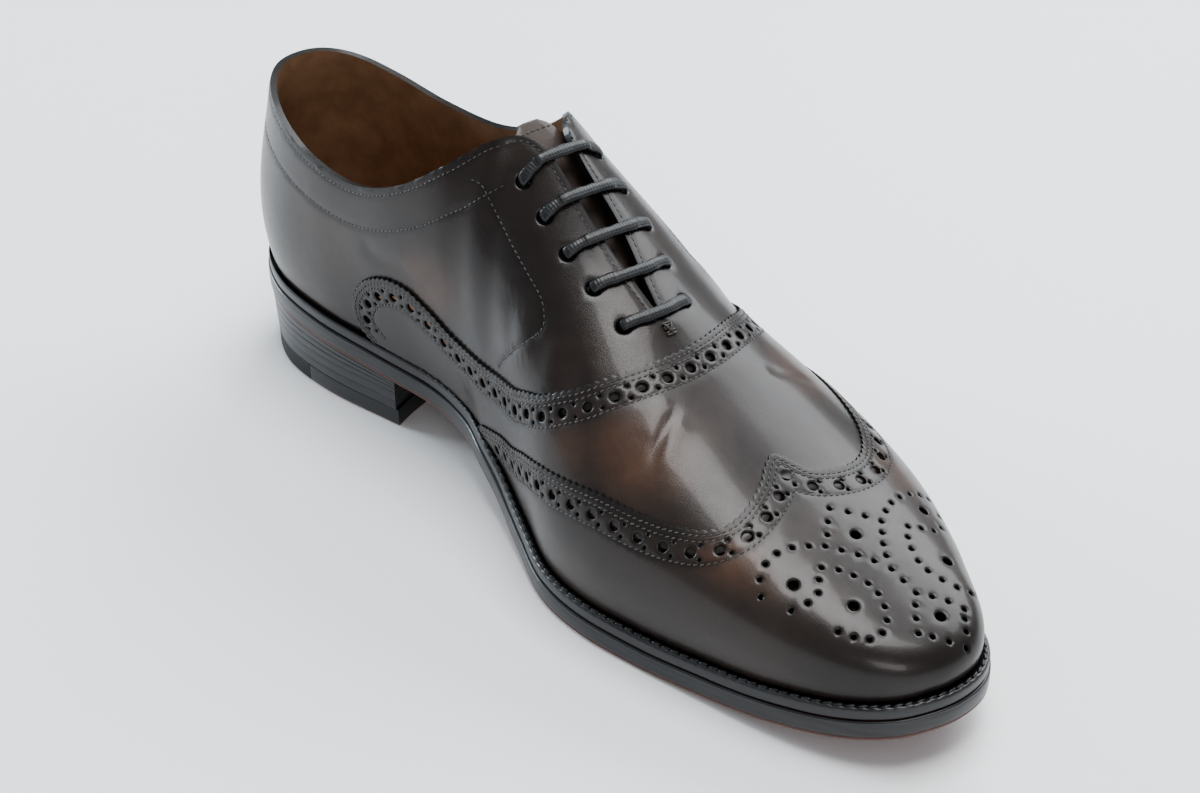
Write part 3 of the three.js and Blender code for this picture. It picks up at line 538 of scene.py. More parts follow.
# %% Upper leather
def calf(name, dark, mid, warm, patches=(), shades=(), marked=True, gloss=0.30):
    """Hand-dyed calf. patches are warm places and shades dark ones: centre, radius, strength, stretch."""
    f = Finish(name)
    cloud = f.ramp(f.noise(16, 4, 0.55, twist=0.6), 0.34, 0.66)
    mottle = f.ramp(f.noise(90, 5, 0.62, twist=0.4), 0.3, 0.72)
    streak = f.ramp(f.noise(60, 3, 0.6, stretch=(1, 3.2, 1)), 0.35, 0.7)
    share = 0.16 + cloud * 0.42 + mottle * 0.14 + streak * 0.08
    colour = f.mix(share.sum("MINIMUM", 1.0), dark, mid)
    glow = None
    for centre, radius, strength, stretch in patches:
        spot = f.near(centre, radius, stretch) * strength * (0.6 + mottle * 0.5)
        glow = spot if glow is None else glow.sum("MAXIMUM", spot)
    if glow is not None:
        colour = f.mix(glow.sum("MINIMUM", 1.0), colour, warm)
    for centre, radius, strength, stretch in shades:
        colour = f.mix(f.near(centre, radius, stretch) * strength, colour, dark)
    rough = gloss - 0.05 + f.noise(240, 3, 0.6) * 0.1 + mottle * 0.03
    if marked:
        worn = f.value_of("dark").sum("MINIMUM", 1.0)
        colour = f.mix(worn * 0.82, colour, tuple(c * 0.3 for c in dark))
        rough = rough + worn * 0.14
    cell = f.add("ShaderNodeTexVoronoi", {"feature": "DISTANCE_TO_EDGE"}, {"Vector": f.place, "Scale": 1500.0,
                                                                          "Randomness": 1.0})
    grain = f.ramp(f.out(cell, "Distance"), 0.0, 0.16)
    pore = f.noise(2600, 2, 0.5)
    normal = f.bump(grain * 0.7 + pore * 0.5, 0.16, 0.00012)
    normal = f.bump(f.noise(70, 3, 0.55), 0.2, 0.0006, normal)
    return f.done(colour=colour, rough=rough, normal=normal, coat=0.2, coat_rough=0.11, specular=0.36)


DARK, MID, WARM = (0.0070, 0.0055, 0.0052), (0.034, 0.0225, 0.0180), (0.096, 0.052, 0.034)
upper_leather = calf("calf_quarters", DARK, MID, WARM,
                     [((104, -27, 66), 17, 0.55, (1.1, 1, 1)), ((120, -24, 68), 10, 0.3, (1, 1, 1.3)),
                      ((60, -31, 62), 18, 0.15, (1.2, 1, 1)), ((100, 30, 62), 22, 0.35, (1.2, 1, 1))],
                     [((84, -27, 78), 16, 0.6, (1.6, 1, 0.8)), ((128, -28, 60), 14, 0.4, (0.8, 1, 1.4)),
                      ((10, 0, 40), 40, 0.35, (1, 1.2, 1))])
# The vamp's mid tone is lighter and greyer than the quarters': the calf's own brown with a painted reflection
# of the bright room.
vamp_leather = calf("calf_vamp", DARK, (0.045, 0.0315, 0.0262), WARM,
                    [((196, -32, 55), 19, 0.85, (1.1, 1, 0.7)), ((178, -36, 52), 13, 0.5, (1.1, 1, 0.7)),
                     ((207, -30, 52), 9, 0.5, (1, 1, 1)), ((196, 28, 54), 18, 0.5, (1.2, 1, 0.8))],
                    [((150, -37, 40), 24, 0.55, (1.4, 1, 0.8)), ((212, -12, 50), 12, 0.3, (1, 1, 1))])
cap_leather = calf("calf_wing", DARK, (0.040, 0.029, 0.0245), WARM,
                   [((231, -33, 41), 11, 0.95, (1.6, 0.9, 0.9)), ((241, -32, 38), 8, 0.5, (1.5, 1, 1)),
                    ((232, 26, 40), 11, 0.6, (1.5, 1, 1))],
                   [((272, -24, 27), 24, 0.6, (1.3, 1, 0.8)), ((190, -44, 30), 24, 0.3, (1.6, 1, 0.8)),
                    ((287, -6, 27), 14, 0.6, (1, 1.6, 1))])


# %% Thread, lace, lining, sole leather, edge dressing, rubber and brass
def plain(name, colour, second, rough, scale=300, bump=0.2, size=0.0002, **extra):
    f = Finish(name)
    cloud = f.ramp(f.noise(scale, 4, 0.6), 0.3, 0.7)
    return f.done(colour=f.mix(cloud, colour, second), rough=rough - 0.05 + cloud * 0.1,
                  normal=f.bump(f.noise(scale * 6, 2), bump, size), **extra)


thread = plain("waxed_thread", (0.030, 0.024, 0.021), (0.085, 0.070, 0.060), 0.36, 500, 0.3)
black_thread = plain("black_thread", (0.008, 0.008, 0.009), (0.022, 0.021, 0.022), 0.4, 500, 0.3)
lining = plain("lining_leather", (0.20, 0.115, 0.065), (0.27, 0.16, 0.095), 0.62, 120, 0.25)
sock_leather = plain("sock_leather", (0.16, 0.09, 0.05), (0.22, 0.13, 0.075), 0.55, 90, 0.25)
rubber = plain("heel_rubber", (0.018, 0.018, 0.019), (0.028, 0.027, 0.027), 0.72, 160, 0.3)
brass = plain("brass", (0.55, 0.36, 0.12), (0.35, 0.22, 0.08), 0.3, 700, 0.1, metal=1.0)
# The tongue's calf is dark brown; its lighter tones here, above the quarters', are painted light, so it shows
# lit in the slit.
tongue_calf_painted_light = calf("calf_tongue", (0.020, 0.015, 0.013), (0.070, 0.052, 0.042), WARM, marked=False,
                    gloss=0.42)


def lace_cord():
    f = Finish("waxed_lace")
    weave = f.add("ShaderNodeUVMap", {"uv_map": "lace"})
    braid = f.add("ShaderNodeTexVoronoi", {"feature": "F1", "distance": "MANHATTAN"},
                  {"Vector": f.out(weave, 0), "Scale": 1.0, "Randomness": 0.12})
    strand = f.out(braid, "Distance")
    # Painted shade: the lace is darker where its strands part, in the weave's grooves.
    colour = f.mix(f.ramp(strand, 0.2, 0.75), (0.013, 0.015, 0.018), (0.004, 0.0045, 0.0055))
    return f.done(colour=colour, rough=0.3 + strand * 0.25, normal=f.bump(1 - strand, 0.5, 0.00025),
                  coat=0.15, coat_rough=0.25)


def sole_leather(name, gloss, pale):
    f = Finish(name)
    cloud = f.ramp(f.noise(14, 4, 0.6, twist=0.8), 0.3, 0.7)
    fibre = f.ramp(f.noise(120, 5, 0.7, stretch=(1, 4, 1)), 0.35, 0.75)
    colour = f.mix(cloud * 0.7 + fibre * 0.3, (0.045, 0.0075, 0.005), (0.115, 0.020, 0.010))
    colour = f.mix(pale, colour, (0.115, 0.033, 0.022))
    # Painted shade: the sole is darker at the waist, in the nook by the heel's breast.
    waist = f.near((92, 0, 12), 42, (1.0, 1.2, 1)) * (1 - pale)
    colour = f.mix(waist * 0.7, colour, (0.022, 0.006, 0.005))
    colour = f.mix(f.near((255, -6, 3), 40, (1, 0.8, 1)) * 0.5, colour, (0.15, 0.042, 0.012))
    cut = f.value_of("cut").sum("MINIMUM", 1.0)
    colour = f.mix(cut, colour, (0.36, 0.062, 0.026))
    normal = f.bump(f.noise(1500, 3), 0.12, 0.00012)
    normal = f.bump(fibre, 0.08, 0.0003, normal)
    rough = 0.17 + pale * 0.24 + fibre * 0.08 + cut * 0.3
    return f.done(colour=colour, rough=rough, normal=normal, coat=gloss, coat_rough=0.06 + pale * 0.2)


def edge_dressing():
    f = Finish("edge_dressing")
    layer = f.noise(40, 4, 0.6, stretch=(1, 1, 14))
    colour = f.mix(f.ramp(layer, 0.3, 0.75), (0.011, 0.0115, 0.013), (0.025, 0.025, 0.027))
    low = f.value_of("low").sum("MINIMUM", 1.0)
    colour = f.mix(low * 0.75, colour, (0.13, 0.035, 0.018))
    return f.done(colour=colour, rough=0.33 + layer * 0.12, normal=f.bump(layer, 0.18, 0.0003),
                  coat=0.2, coat_rough=0.2)


lace_finish, edge_finish = lace_cord(), edge_dressing()
sole_finish, top_leather = sole_leather("sole_leather", 0.5, 0.0), sole_leather("heel_top_leather", 0.15, 0.8)
print(len(bpy.data.materials), "finishes")

# %% [markdown]
# ## Stitches and nails
# Each seam is a row of short threads that lean a little and dip into their holes. Geometry Nodes
# set one small thread on every point of a row, turned along the seam and up from the leather.

# %% Rows of small pieces by Geometry Nodes
def new_tree(name, inputs):
    tree = bpy.data.node_groups.new(name, "GeometryNodeTree")
    tree.interface.new_socket("Geometry", in_out="INPUT", socket_type="NodeSocketGeometry")
    for label, kind, value in inputs:
        socket = tree.interface.new_socket(label, in_out="INPUT", socket_type=kind)
        if value is not None:
            socket.default_value = value
    tree.interface.new_socket("Geometry", in_out="OUTPUT", socket_type="NodeSocketGeometry")
    return tree, tree.nodes.new("NodeGroupInput"), tree.nodes.new("NodeGroupOutput")


def row_tree():
    """A small rounded piece on every point, lying along it and standing out from it."""
    tree, given, result = new_tree("small pieces in a row", [
        ("Long", "NodeSocketFloat", 0.0014), ("Wide", "NodeSocketFloat", 0.0006),
        ("High", "NodeSocketFloat", 0.0004), ("Slant", "NodeSocketFloat", 0.0),
        ("Segments", "NodeSocketInt", 8), ("Rings", "NodeSocketInt", 5),
        ("Material", "NodeSocketMaterial", None)])
    node, link = tree.nodes.new, tree.links.new
    ball = node("GeometryNodeMeshUVSphere")
    ball.inputs["Radius"].default_value = 0.5
    link(given.outputs["Segments"], ball.inputs["Segments"])
    link(given.outputs["Rings"], ball.inputs["Rings"])
    turned = node("FunctionNodeAxesToRotation")
    turned.primary_axis, turned.secondary_axis = "X", "Z"
    for label, key in (("along", "Primary Axis"), ("outward", "Secondary Axis")):
        named = node("GeometryNodeInputNamedAttribute")
        named.data_type = "FLOAT_VECTOR"
        named.inputs["Name"].default_value = label
        link(named.outputs["Attribute"], turned.inputs[key])
    lean = node("FunctionNodeRotateRotation")
    lean.rotation_space = "LOCAL"
    angle = node("ShaderNodeCombineXYZ")
    link(given.outputs["Slant"], angle.inputs["Z"])
    link(turned.outputs[0], lean.inputs[0])
    link(angle.outputs[0], lean.inputs[1])
    size = node("ShaderNodeCombineXYZ")
    for label, key in (("Long", "X"), ("Wide", "Y"), ("High", "Z")):
        link(given.outputs[label], size.inputs[key])
    spread = node("GeometryNodeInstanceOnPoints")
    link(given.outputs["Geometry"], spread.inputs["Points"])
    link(ball.outputs["Mesh"], spread.inputs["Instance"])
    link(lean.outputs[0], spread.inputs["Rotation"])
    link(size.outputs[0], spread.inputs["Scale"])
    real = node("GeometryNodeRealizeInstances")
    paint = node("GeometryNodeSetMaterial")
    smooth = node("GeometryNodeSetShadeSmooth")
    link(spread.outputs[0], real.inputs[0])
    link(real.outputs[0], smooth.inputs[0])
    link(smooth.outputs[0], paint.inputs[0])
    link(given.outputs["Material"], paint.inputs["Material"])
    link(paint.outputs[0], result.inputs[0])
    return tree


ROW_TREE = row_tree()


def grow(name, tree, points, vectors, settings):
    """Runs a tree on loose points with vectors on them, and keeps the result as a plain mesh."""
    mesh = bpy.data.meshes.new(name)
    mesh.from_pydata(((np.asarray(points) + SHIFT) / 1000).tolist(), [], [])
    for key, data in vectors.items():
        layer = mesh.attributes.new(key, "FLOAT_VECTOR", "POINT")
        layer.data.foreach_set("vector", np.asarray(data, np.float32).ravel())
    seed = bpy.data.objects.new(name + "_seed", mesh)
    bpy.context.scene.collection.objects.link(seed)
    modifier = seed.modifiers.new("nodes", "NODES")
    modifier.node_group = tree
    for item in tree.interface.items_tree:
        if item.item_type == "SOCKET" and item.in_out == "INPUT" and item.name in settings:
            modifier[item.identifier] = settings[item.name]
    bpy.context.view_layer.update()
    ready = seed.evaluated_get(bpy.context.evaluated_depsgraph_get())
    grown = bpy.data.meshes.new_from_object(ready, preserve_all_data_layers=True,
                                            depsgraph=bpy.context.evaluated_depsgraph_get())
    grown.name = name
    seed.modifiers.clear()
    bpy.data.objects.remove(seed)
    for key in vectors:
        if key in grown.attributes:
            grown.attributes.remove(grown.attributes[key])
    piece = bpy.data.objects.new(name, grown)
    bpy.context.scene.collection.objects.link(piece)
    return piece


def stitch_rows(name, rows, slot="upper_leather", length=1.35, width=0.55, height=0.45, slant=0.3,
                material=None):
    """rows: places, outward directions for each seam, already one point for each stitch."""
    points = np.vstack([r[0] for r in rows])
    outs = np.vstack([r[1] for r in rows])
    alongs = np.vstack([unit(np.gradient(r[0], axis=0)) for r in rows])
    piece = grow(name, ROW_TREE, points, {"along": alongs, "outward": outs}, {
        "Long": length / 1000, "Wide": width / 1000, "High": height / 1000, "Slant": slant,
        "Segments": 8, "Rings": 5, "Material": material or thread})
    return finish_piece(piece, slot)


# %% [markdown]
# ## Creases
# Leather over an empty last is not a perfect surface. A few soft folds and dents are placed,
# each a line on the shoe with its depth and width, as the photograph shows them.

# %% Relief
RELIEF = [  # depth (down is negative), width, and the line on the last
    (-0.55, 1.1, [(194.0, -15, 61), (196.0, -20, 60), (198.0, -25, 58), (199.5, -29, 55), (201.5, -33, 52)]),
    (0.30, 2.6, [(197.5, -16, 60), (199.5, -22, 58), (202.0, -28, 55), (204.0, -32, 51)]),
    (0.25, 3.2, [(190.5, -16, 63), (192.5, -23, 60), (195.0, -29, 56)]),
    (-0.35, 1.8, [(205.0, -31, 50), (207.5, -36, 45), (209.0, -39, 41)]),
    (0.28, 4.6, [(146, -27, 76), (149, -31, 70), (152, -34, 63)]),
    (-0.25, 3.6, [(139, -25, 80), (142.5, -31, 70), (144.5, -34, 62)]),
    (0.45, 3.0, [(159, -27, 72), (161.5, -31, 66), (163.5, -34, 60)]),
    (-0.40, 2.4, [(165, -26, 71), (167.5, -30, 66), (170, -33, 61)]),
    (0.30, 3.0, [(171, -24, 70), (173.5, -28, 66), (176, -31, 62)]),
    (0.40, 3.6, [(156, 27, 73), (160, 32, 67), (163, 35, 61)]),
    (-0.35, 3.0, [(149, 28, 76), (153, 33, 69), (156, 36, 62)]),
    (-0.45, 1.6, [(196, 14, 59), (199, 22, 57), (202, 30, 53)]),
    (-0.30, 3.0, [(72, -30, 66), (84, -29, 64), (97, -27, 67)]),
]


def relief(places):
    """How far the leather is raised or sunk at each place, in millimetres."""
    total = np.zeros(len(places))
    for depth, width, knots in RELIEF:
        line = even(curve_through(knots, 8), width / 2)
        gap = np.linalg.norm(places[:, None] - line[None], axis=2)
        nearest = gap.argmin(1)
        t = nearest / (len(line) - 1)
        fade = np.clip(np.minimum(t, 1 - t) * 4, 0.0, 1)
        fade = fade * fade * (3 - 2 * fade)
        total += depth * np.exp(-(gap.min(1) / width) ** 2) * fade
    return total


# %% [markdown]
# ## Cutting a panel
# A panel is drawn as a closed line on the chart. Its edge is pinked, its holes are punched and
# its seams press grooves into it. A constrained triangulation keeps every one of those lines, and
# the flat piece is then laid on the last with its thickness.

# %% Panel cutter
def inside(points, border):
    """Whether each flat point lies in the closed border."""
    hit = np.zeros(len(points), bool)
    a, b = border, np.roll(border, -1, axis=0)
    for k in range(0, len(points), 2000):
        p = points[k:k + 2000]
        crosses = (a[None, :, 1] > p[:, None, 1]) != (b[None, :, 1] > p[:, None, 1])
        rise = np.where(np.abs(b[:, 1] - a[:, 1]) < 1e-12, 1e-12, b[:, 1] - a[:, 1])
        at = a[None, :, 0] + (p[:, None, 1] - a[None, :, 1]) * ((b[:, 0] - a[:, 0]) / rise)[None]
        hit[k:k + 2000] = (crosses & (p[:, None, 0] < at)).sum(1) % 2 == 1
    return hit


def closest(points, targets, chunk=1500):
    """Distance from each point to the nearest target."""
    out = np.full(len(points), 1e9)
    for k in range(0, len(points), chunk):
        d = points[k:k + chunk, None] - targets[None]
        out[k:k + chunk] = np.sqrt((d * d).sum(2).min(1))
    return out


def thin_out(points, kept, gap):
    """The points that stay clear of the ones kept already."""
    return points[closest(points, kept) > gap] if len(points) else points


def ring(centre, normal, radius, count):
    side = unit(np.cross(normal, [0.3, 1.0, 0.1]))
    up = np.cross(normal, side)
    a = np.linspace(0, 2 * math.pi, count, endpoint=False)[:, None]
    return centre + radius * (np.cos(a) * side + np.sin(a) * up)


def lapped(line, near, lined=-1.2):
    """A lower face that lies on the panel under it near its edge, and is lined further in."""
    def low(places):
        share = np.clip((closest(places, line) - 7) / 3, 0, 1)
        return near + (lined - near) * share * share * (3 - 2 * share)
    return low


# Depth and width of the dip along a seam, and of the rounding round a hole and along an edge.
SEAM_DIP, HOLE_DIP, EDGE_DIP = (0.20, 0.5), (0.30, 0.28), (0.30, 0.30)


def dip(distance, depth, width):
    return depth * np.exp(-(np.maximum(distance, 0) / width) ** 2)


def cut_panel(name, border, low, high, holes, rows, materials, spacing=1.5):
    """border and holes become constraint loops; rows of seams and a hex grid fill the rest.

    The upper face is high above the last, and low gives the lower face at each place. holes are
    (place, radius) on the last. The second material is the lining's."""
    flats, edges, kinds = [border], [], [np.full(len(border), 1)]
    edges += [(i, (i + 1) % len(border)) for i in range(len(border))]
    count = len(border)
    centres, reach = np.zeros((0, 3)), np.zeros(0)
    loops = []
    if holes:
        centres = np.array([h[0] for h in holes])
        reach = np.array([h[1] for h in holes])
        _, normals = lay(unroll(centres))
        for centre, normal, radius in zip(centres, normals, reach):
            n = 16 if radius > 1 else 9
            loops.append((ring(centre, normal, radius, n), ring(centre, normal, radius + 0.3, n),
                          ring(centre, normal, radius + 0.75, n)))
        sizes = [len(loop[0]) for loop in loops]
        rims = unroll(np.vstack([loop[0] for loop in loops]))
        flats.append(rims)
        kinds.append(np.repeat(np.arange(len(loops)) + 10, sizes))
        for size in sizes:
            edges += [(count + i, count + (i + 1) % size) for i in range(size)]
            count += size
    kept = np.vstack(flats)
    fill = []
    if loops:
        fill.append((unroll(np.vstack([loop[1] for loop in loops])), 0.16))
        fill.append((unroll(np.vstack([loop[2] for loop in loops])), 0.26))
    for line in rows:
        for offset in (0.0, 0.55, -0.55):
            moved = beside(line, offset, 0.9) if offset else even(line, 0.9)
            fill.append((unroll(moved), 0.34))
    lowest, highest = border.min(0), border.max(0)
    gx = np.arange(lowest[0], highest[0], spacing)
    gy = np.arange(lowest[1], highest[1], spacing * 0.866)
    mesh_x, mesh_y = np.meshgrid(gx, gy)
    mesh_x[1::2] += spacing / 2
    fill.append((np.stack([mesh_x.ravel(), mesh_y.ravel()], 1), spacing * 0.45))
    for points, gap in fill:
        points = points[inside(points, border)]
        points = thin_out(points, border, 0.42)
        if loops:
            p3, _ = lay(points)
            clear = ((p3[:, None] - centres[None]) ** 2).sum(2) > (reach[None] + 0.12) ** 2
            points = points[clear.all(1)]
        points = thin_out(points, kept, gap)
        kept = np.vstack([kept, points])
    kinds = np.concatenate(kinds + [np.zeros(len(kept) - count, int)])
    out = delaunay_2d_cdt([Vector(p) for p in kept.tolist()], edges, [list(range(len(border)))], 1, 1e-5)
    verts = np.array([v[:] for v in out[0]])
    kind = np.array([kinds[o[0]] if len(o) else 0 for o in out[3]])
    tris = np.array([f for f in out[2] if len(f) == 3])
    k = kind[tris]
    tris = tris[~((k[:, 0] >= 10) & (k[:, 0] == k[:, 1]) & (k[:, 1] == k[:, 2]))]
    area = np.cross(verts[tris[:, 1]] - verts[tris[:, 0]], verts[tris[:, 2]] - verts[tris[:, 0]])
    tris = tris[np.abs(area) > 1e-7]
    area = area[np.abs(area) > 1e-7]
    tris = np.where(area[:, None] < 0, tris[:, ::-1], tris)
    places, normals = lay(verts)
    seam_points = np.vstack(rows) if rows else np.full((1, 3), 1e6)
    from_seam = closest(places, seam_points)
    from_hole = np.full(len(verts), 9.0)
    if len(centres):
        gap = np.sqrt(((places[:, None] - centres[None]) ** 2).sum(2)) - reach[None]
        from_hole = gap.min(1)
    border3 = lay(border)[0]
    from_edge = closest(places, border3)
    top = high - dip(from_seam, *SEAM_DIP) + relief(places)
    top -= dip(from_hole, *HOLE_DIP)
    top -= dip(from_edge, *EDGE_DIP)
    dark = dip(from_seam, 0.75, 0.9) + dip(from_hole, 1.0, 0.5) + dip(from_edge, 0.8, 0.8)
    n = len(verts)
    points = np.vstack([places + normals * top[:, None], places + normals * low(places)[:, None]])
    faces = tris.tolist() + (tris[:, ::-1] + n).tolist()
    used = {}
    for a, b, c in tris.tolist():
        for e in ((a, b), (b, c), (c, a)):
            used[e] = True
    for a, b in list(used):
        if (b, a) not in used:
            faces.append((b, a, a + n, b + n))
    under_side = [0] * len(tris) + [1] * len(tris) + [0] * (len(faces) - 2 * len(tris))
    return make_piece(name, points, faces, materials, under_side, smooth=42,
                      values={"dark": np.concatenate([dark, dark + 1])})


# %% [markdown]
# ## Broguing
# The bands along the panels' edges carry two rows of stitches, then large holes with a pair of
# small ones between each two, then one more row. The edge outside them is pinked.

# %% Bands
PINK_PITCH, PINK_DEPTH = 2.3, 0.75
ROW_1, ROW_2, HOLE_LINE, ROW_3 = 1.25, 2.75, 5.5, 8.6
BIG_HOLE, SMALL_HOLE, MEDAL_BIG, MEDAL_SMALL = 1.45, 0.55, 1.45, 0.72
HOLE_PITCH, PAIR_OUT = 7.6, 1.75
STITCH = 1.75


def pinked(line):
    """The edge with small teeth, on the chart."""
    fine = even(line, 0.3)
    length = np.linspace(0, 0.3 * (len(fine) - 1), len(fine))
    tooth = PINK_DEPTH * np.abs(2 * ((length / PINK_PITCH) % 1) - 1)
    return unroll(beside(fine, tooth))


def band_holes(line, clear_of_floor=4.0):
    """Large holes along the band with a pair of small ones between each two."""
    middle = even(beside(line, -HOLE_LINE), HOLE_PITCH)
    big = [(p, BIG_HOLE) for p in middle]
    half = even(beside(line, -HOLE_LINE), HOLE_PITCH / 2)[1::2]
    _, normals = lay(unroll(half))
    tangent = unit(np.gradient(half, axis=0))
    across_band = unit(np.cross(normals, tangent))
    pairs = np.vstack([half + across_band * PAIR_OUT, half - across_band * PAIR_OUT])
    small = [(p, SMALL_HOLE) for p in pairs]
    every = big + small
    keep = []
    for place, radius in every:
        foot = closest(place[None], foot_points)[0]
        if foot > clear_of_floor:
            keep.append((lay(unroll(place[None]))[0][0], radius))
    return keep


def stitches_on(line, lift, spacing=STITCH, trim=0.0):
    """One place for each stitch of a seam, lifted to the top of the leather."""
    row = even(line, spacing)
    places, normals = lay(unroll(row))
    lifted = places + normals * (lift + relief(places))[:, None]
    foot = closest(places, foot_points)
    good = foot > 0.8 + trim
    return lifted[good], normals[good]


def foot_line(side, start, end):
    """Chart points along the welt on one side."""
    count = int(abs(end - start) / 0.08) + 2
    at = np.linspace(start, end, count)
    return unroll(on_last(np.stack([at, np.full(count, 0.0 if side == INNER else 2.0)], 1)))


def close_border(*parts):
    """Joins lines into one loop without doubled points."""
    loop = np.vstack(parts)
    keep = [0]
    for i in range(1, len(loop)):
        if np.linalg.norm(loop[i] - loop[keep[-1]]) > 0.12:
            keep.append(i)
    if np.linalg.norm(loop[keep[-1]] - loop[0]) < 0.12:
        keep.pop()
    return loop[keep]


# %% [markdown]
# ## Vamp
# The vamp covers the front of the foot and runs back along both sides. Its front edge hides
# under the wing cap.

# %% Vamp panel
VAMP_LOW, VAMP_HIGH, CAP_LOW, CAP_HIGH = 0.02, 1.15, 1.22, 1.95
hidden = beside(wing_line, -6.0, 2.0)
vamp_border = close_border(
    pinked(vamp_line), foot_line(OUTER, 4.9, 8.6), unroll(hidden)[::-1], foot_line(INNER, 8.6, 4.9))
vamp_rows = [beside(vamp_line, -ROW_1), beside(vamp_line, -ROW_2), beside(vamp_line, -ROW_3)]
vamp = cut_panel("vamp_panel", vamp_border, lapped(vamp_line, VAMP_LOW), VAMP_HIGH, band_holes(vamp_line),
                 vamp_rows, [vamp_leather, lining])
finish_piece(vamp, "upper_leather", "vamp")
stitch_rows("vamp_stitches", [stitches_on(r, VAMP_HIGH - 0.12) for r in vamp_rows])

# %% [markdown]
# ## Wing cap
# The cap's edge runs from both sides up over the toe to a peak on the ridge. Its medallion is a
# figure of holes about one axis: half of it is charted in millimetres and mirrored, and
# the whole leans forward on the outer side, as in the photograph.

# %% Wing cap panel
MEDAL_ORIGIN, MEDAL_TURN, MEDAL_LEAN = np.array([238.7, -3.3]), math.radians(-1.2), 0.17
MEDAL_DOTS = [  # forwards, sideways
    (0, 0), (3.4, 3.3), (6.2, 6.5), (8.8, 9.6), (7.6, 13.0), (6.4, 16.8), (6.0, 21.0), (6.8, 25.2),
    (8.7, 28.9), (11.3, 31.8), (11.7, 6.9), (14.8, 4.3), (18.2, 2.1), (22.3, 0), (26.7, 0), (31.4, 0),
    (13.2, 15.2), (15.9, 12.2), (19.1, 10.2), (22.8, 8.9), (26.4, 9.1), (30.2, 10.8), (33.2, 13.6),
    (34.4, 17.8), (15.3, 18.4), (17.6, 21.4), (17.8, 25.4), (16.6, 29.4), (26.4, 26.0), (29.8, 24.4),
    (33.0, 22.0), (34.2, 3.3), (37.2, 6.6), (40.4, 9.8), (43.2, 7.2), (46.4, 3.8), (49.4, 0)]
MEDAL_LARGE = [(9.3, 0), (40.2, 0), (13.0, 24.2), (25.2, 17.4)]


def medallion():
    holes = []
    forward = np.array([math.cos(MEDAL_TURN), math.sin(MEDAL_TURN)])
    sideways = np.array([-forward[1], forward[0]])
    for dots, radius in ((MEDAL_DOTS, MEDAL_SMALL), (MEDAL_LARGE, MEDAL_BIG)):
        for p, q in dots:
            for sign in ((1, -1) if q else (1,)):
                lean = sign * q * MEDAL_LEAN * (1 - p / 42)
                spot = MEDAL_ORIGIN + (p + lean) * forward + sign * q * sideways
                holes.append((lay(spot[None])[0][0], radius))
    return holes


cap_border = close_border(pinked(wing_line), foot_line(OUTER, 7.65, TIP), foot_line(INNER, TIP, 7.65))
cap_rows = [beside(wing_line, -ROW_1), beside(wing_line, -ROW_2), beside(wing_line, -ROW_3)]
cap = cut_panel("wing_panel", cap_border, lapped(wing_line, CAP_LOW), CAP_HIGH,
                band_holes(wing_line) + medallion(), cap_rows, [cap_leather, lining])
finish_piece(cap, "upper_leather", "wing_cap")
stitch_rows("wing_stitches", [stitches_on(r, CAP_HIGH - 0.12) for r in cap_rows])

# %% [markdown]
# ## Quarters
# The two quarters make the back of the shoe and the facings with their eyelets. They are lined,
# meet in a seam down the heel, and run on under the vamp to where its seam holds them.

# %% Quarters
EYELET_FIRST, EYELET_PITCH, EYELET_SET, EYELET_BORE = 3.5, 13.5, 11.0, 4.4


def walk(line, distance):
    length = np.concatenate([[0], np.cumsum(np.linalg.norm(np.diff(line, axis=0), axis=1))])
    return np.array([np.interp(distance, length, line[:, c]) for c in range(3)])


def top_line(side, start=0.0, end=float(THROAT)):
    at = np.linspace(start, end, 400)
    return on_last(np.stack([at, np.full(400, 1.0 if side == INNER else 1.0 + 1e-6)], 1))


def eyelet_places(side, extra=0.0):
    """Walks up the facing's edge from the throat, and in from it down the wall."""
    edge = even(top_line(side)[::-1], 0.25)
    places = []
    for k in range(5):
        spot = walk(edge, EYELET_FIRST + k * EYELET_PITCH)
        at = np.interp(spot[0], top_line(side, 8)[:, 0], np.linspace(8, THROAT, 400))
        column = np.linspace(1.0, 0.3, 300) if side == INNER else np.linspace(1.0 + 1e-6, 1.7, 300)
        places.append(walk(on_last(np.stack([np.full(300, at), column], 1)), EYELET_SET + extra))
    return np.array(places)


FACING_ROW = [(7.9, 0.80), (8.2, 0.765), (8.55, 0.71), (8.92, 0.675), (9.31, 0.664), (9.74, 0.678),
              (10.05, 0.687), (10.22, 0.668), (10.29, 0.632), (10.2, 0.58), (10.05, 0.527), (9.6, 0.40),
              (9.15, 0.30)]


def rounded(line, reach=3.0, spacing=0.5):
    """The line with its corners rounded off, still on the last."""
    line = even(line, spacing)
    steps = int(3 * reach / spacing)
    weights = np.exp(-0.5 * (np.arange(-steps, steps + 1) * spacing / reach) ** 2)
    ends = [2 * line[:1] - line[steps:0:-1], line, 2 * line[-1:] - line[-2:-steps - 2:-1]]
    padded = np.vstack(ends)
    smooth = np.stack([np.convolve(padded[:, c], weights / weights.sum(), "valid") for c in range(3)], 1)
    return lay(unroll(smooth))[0]


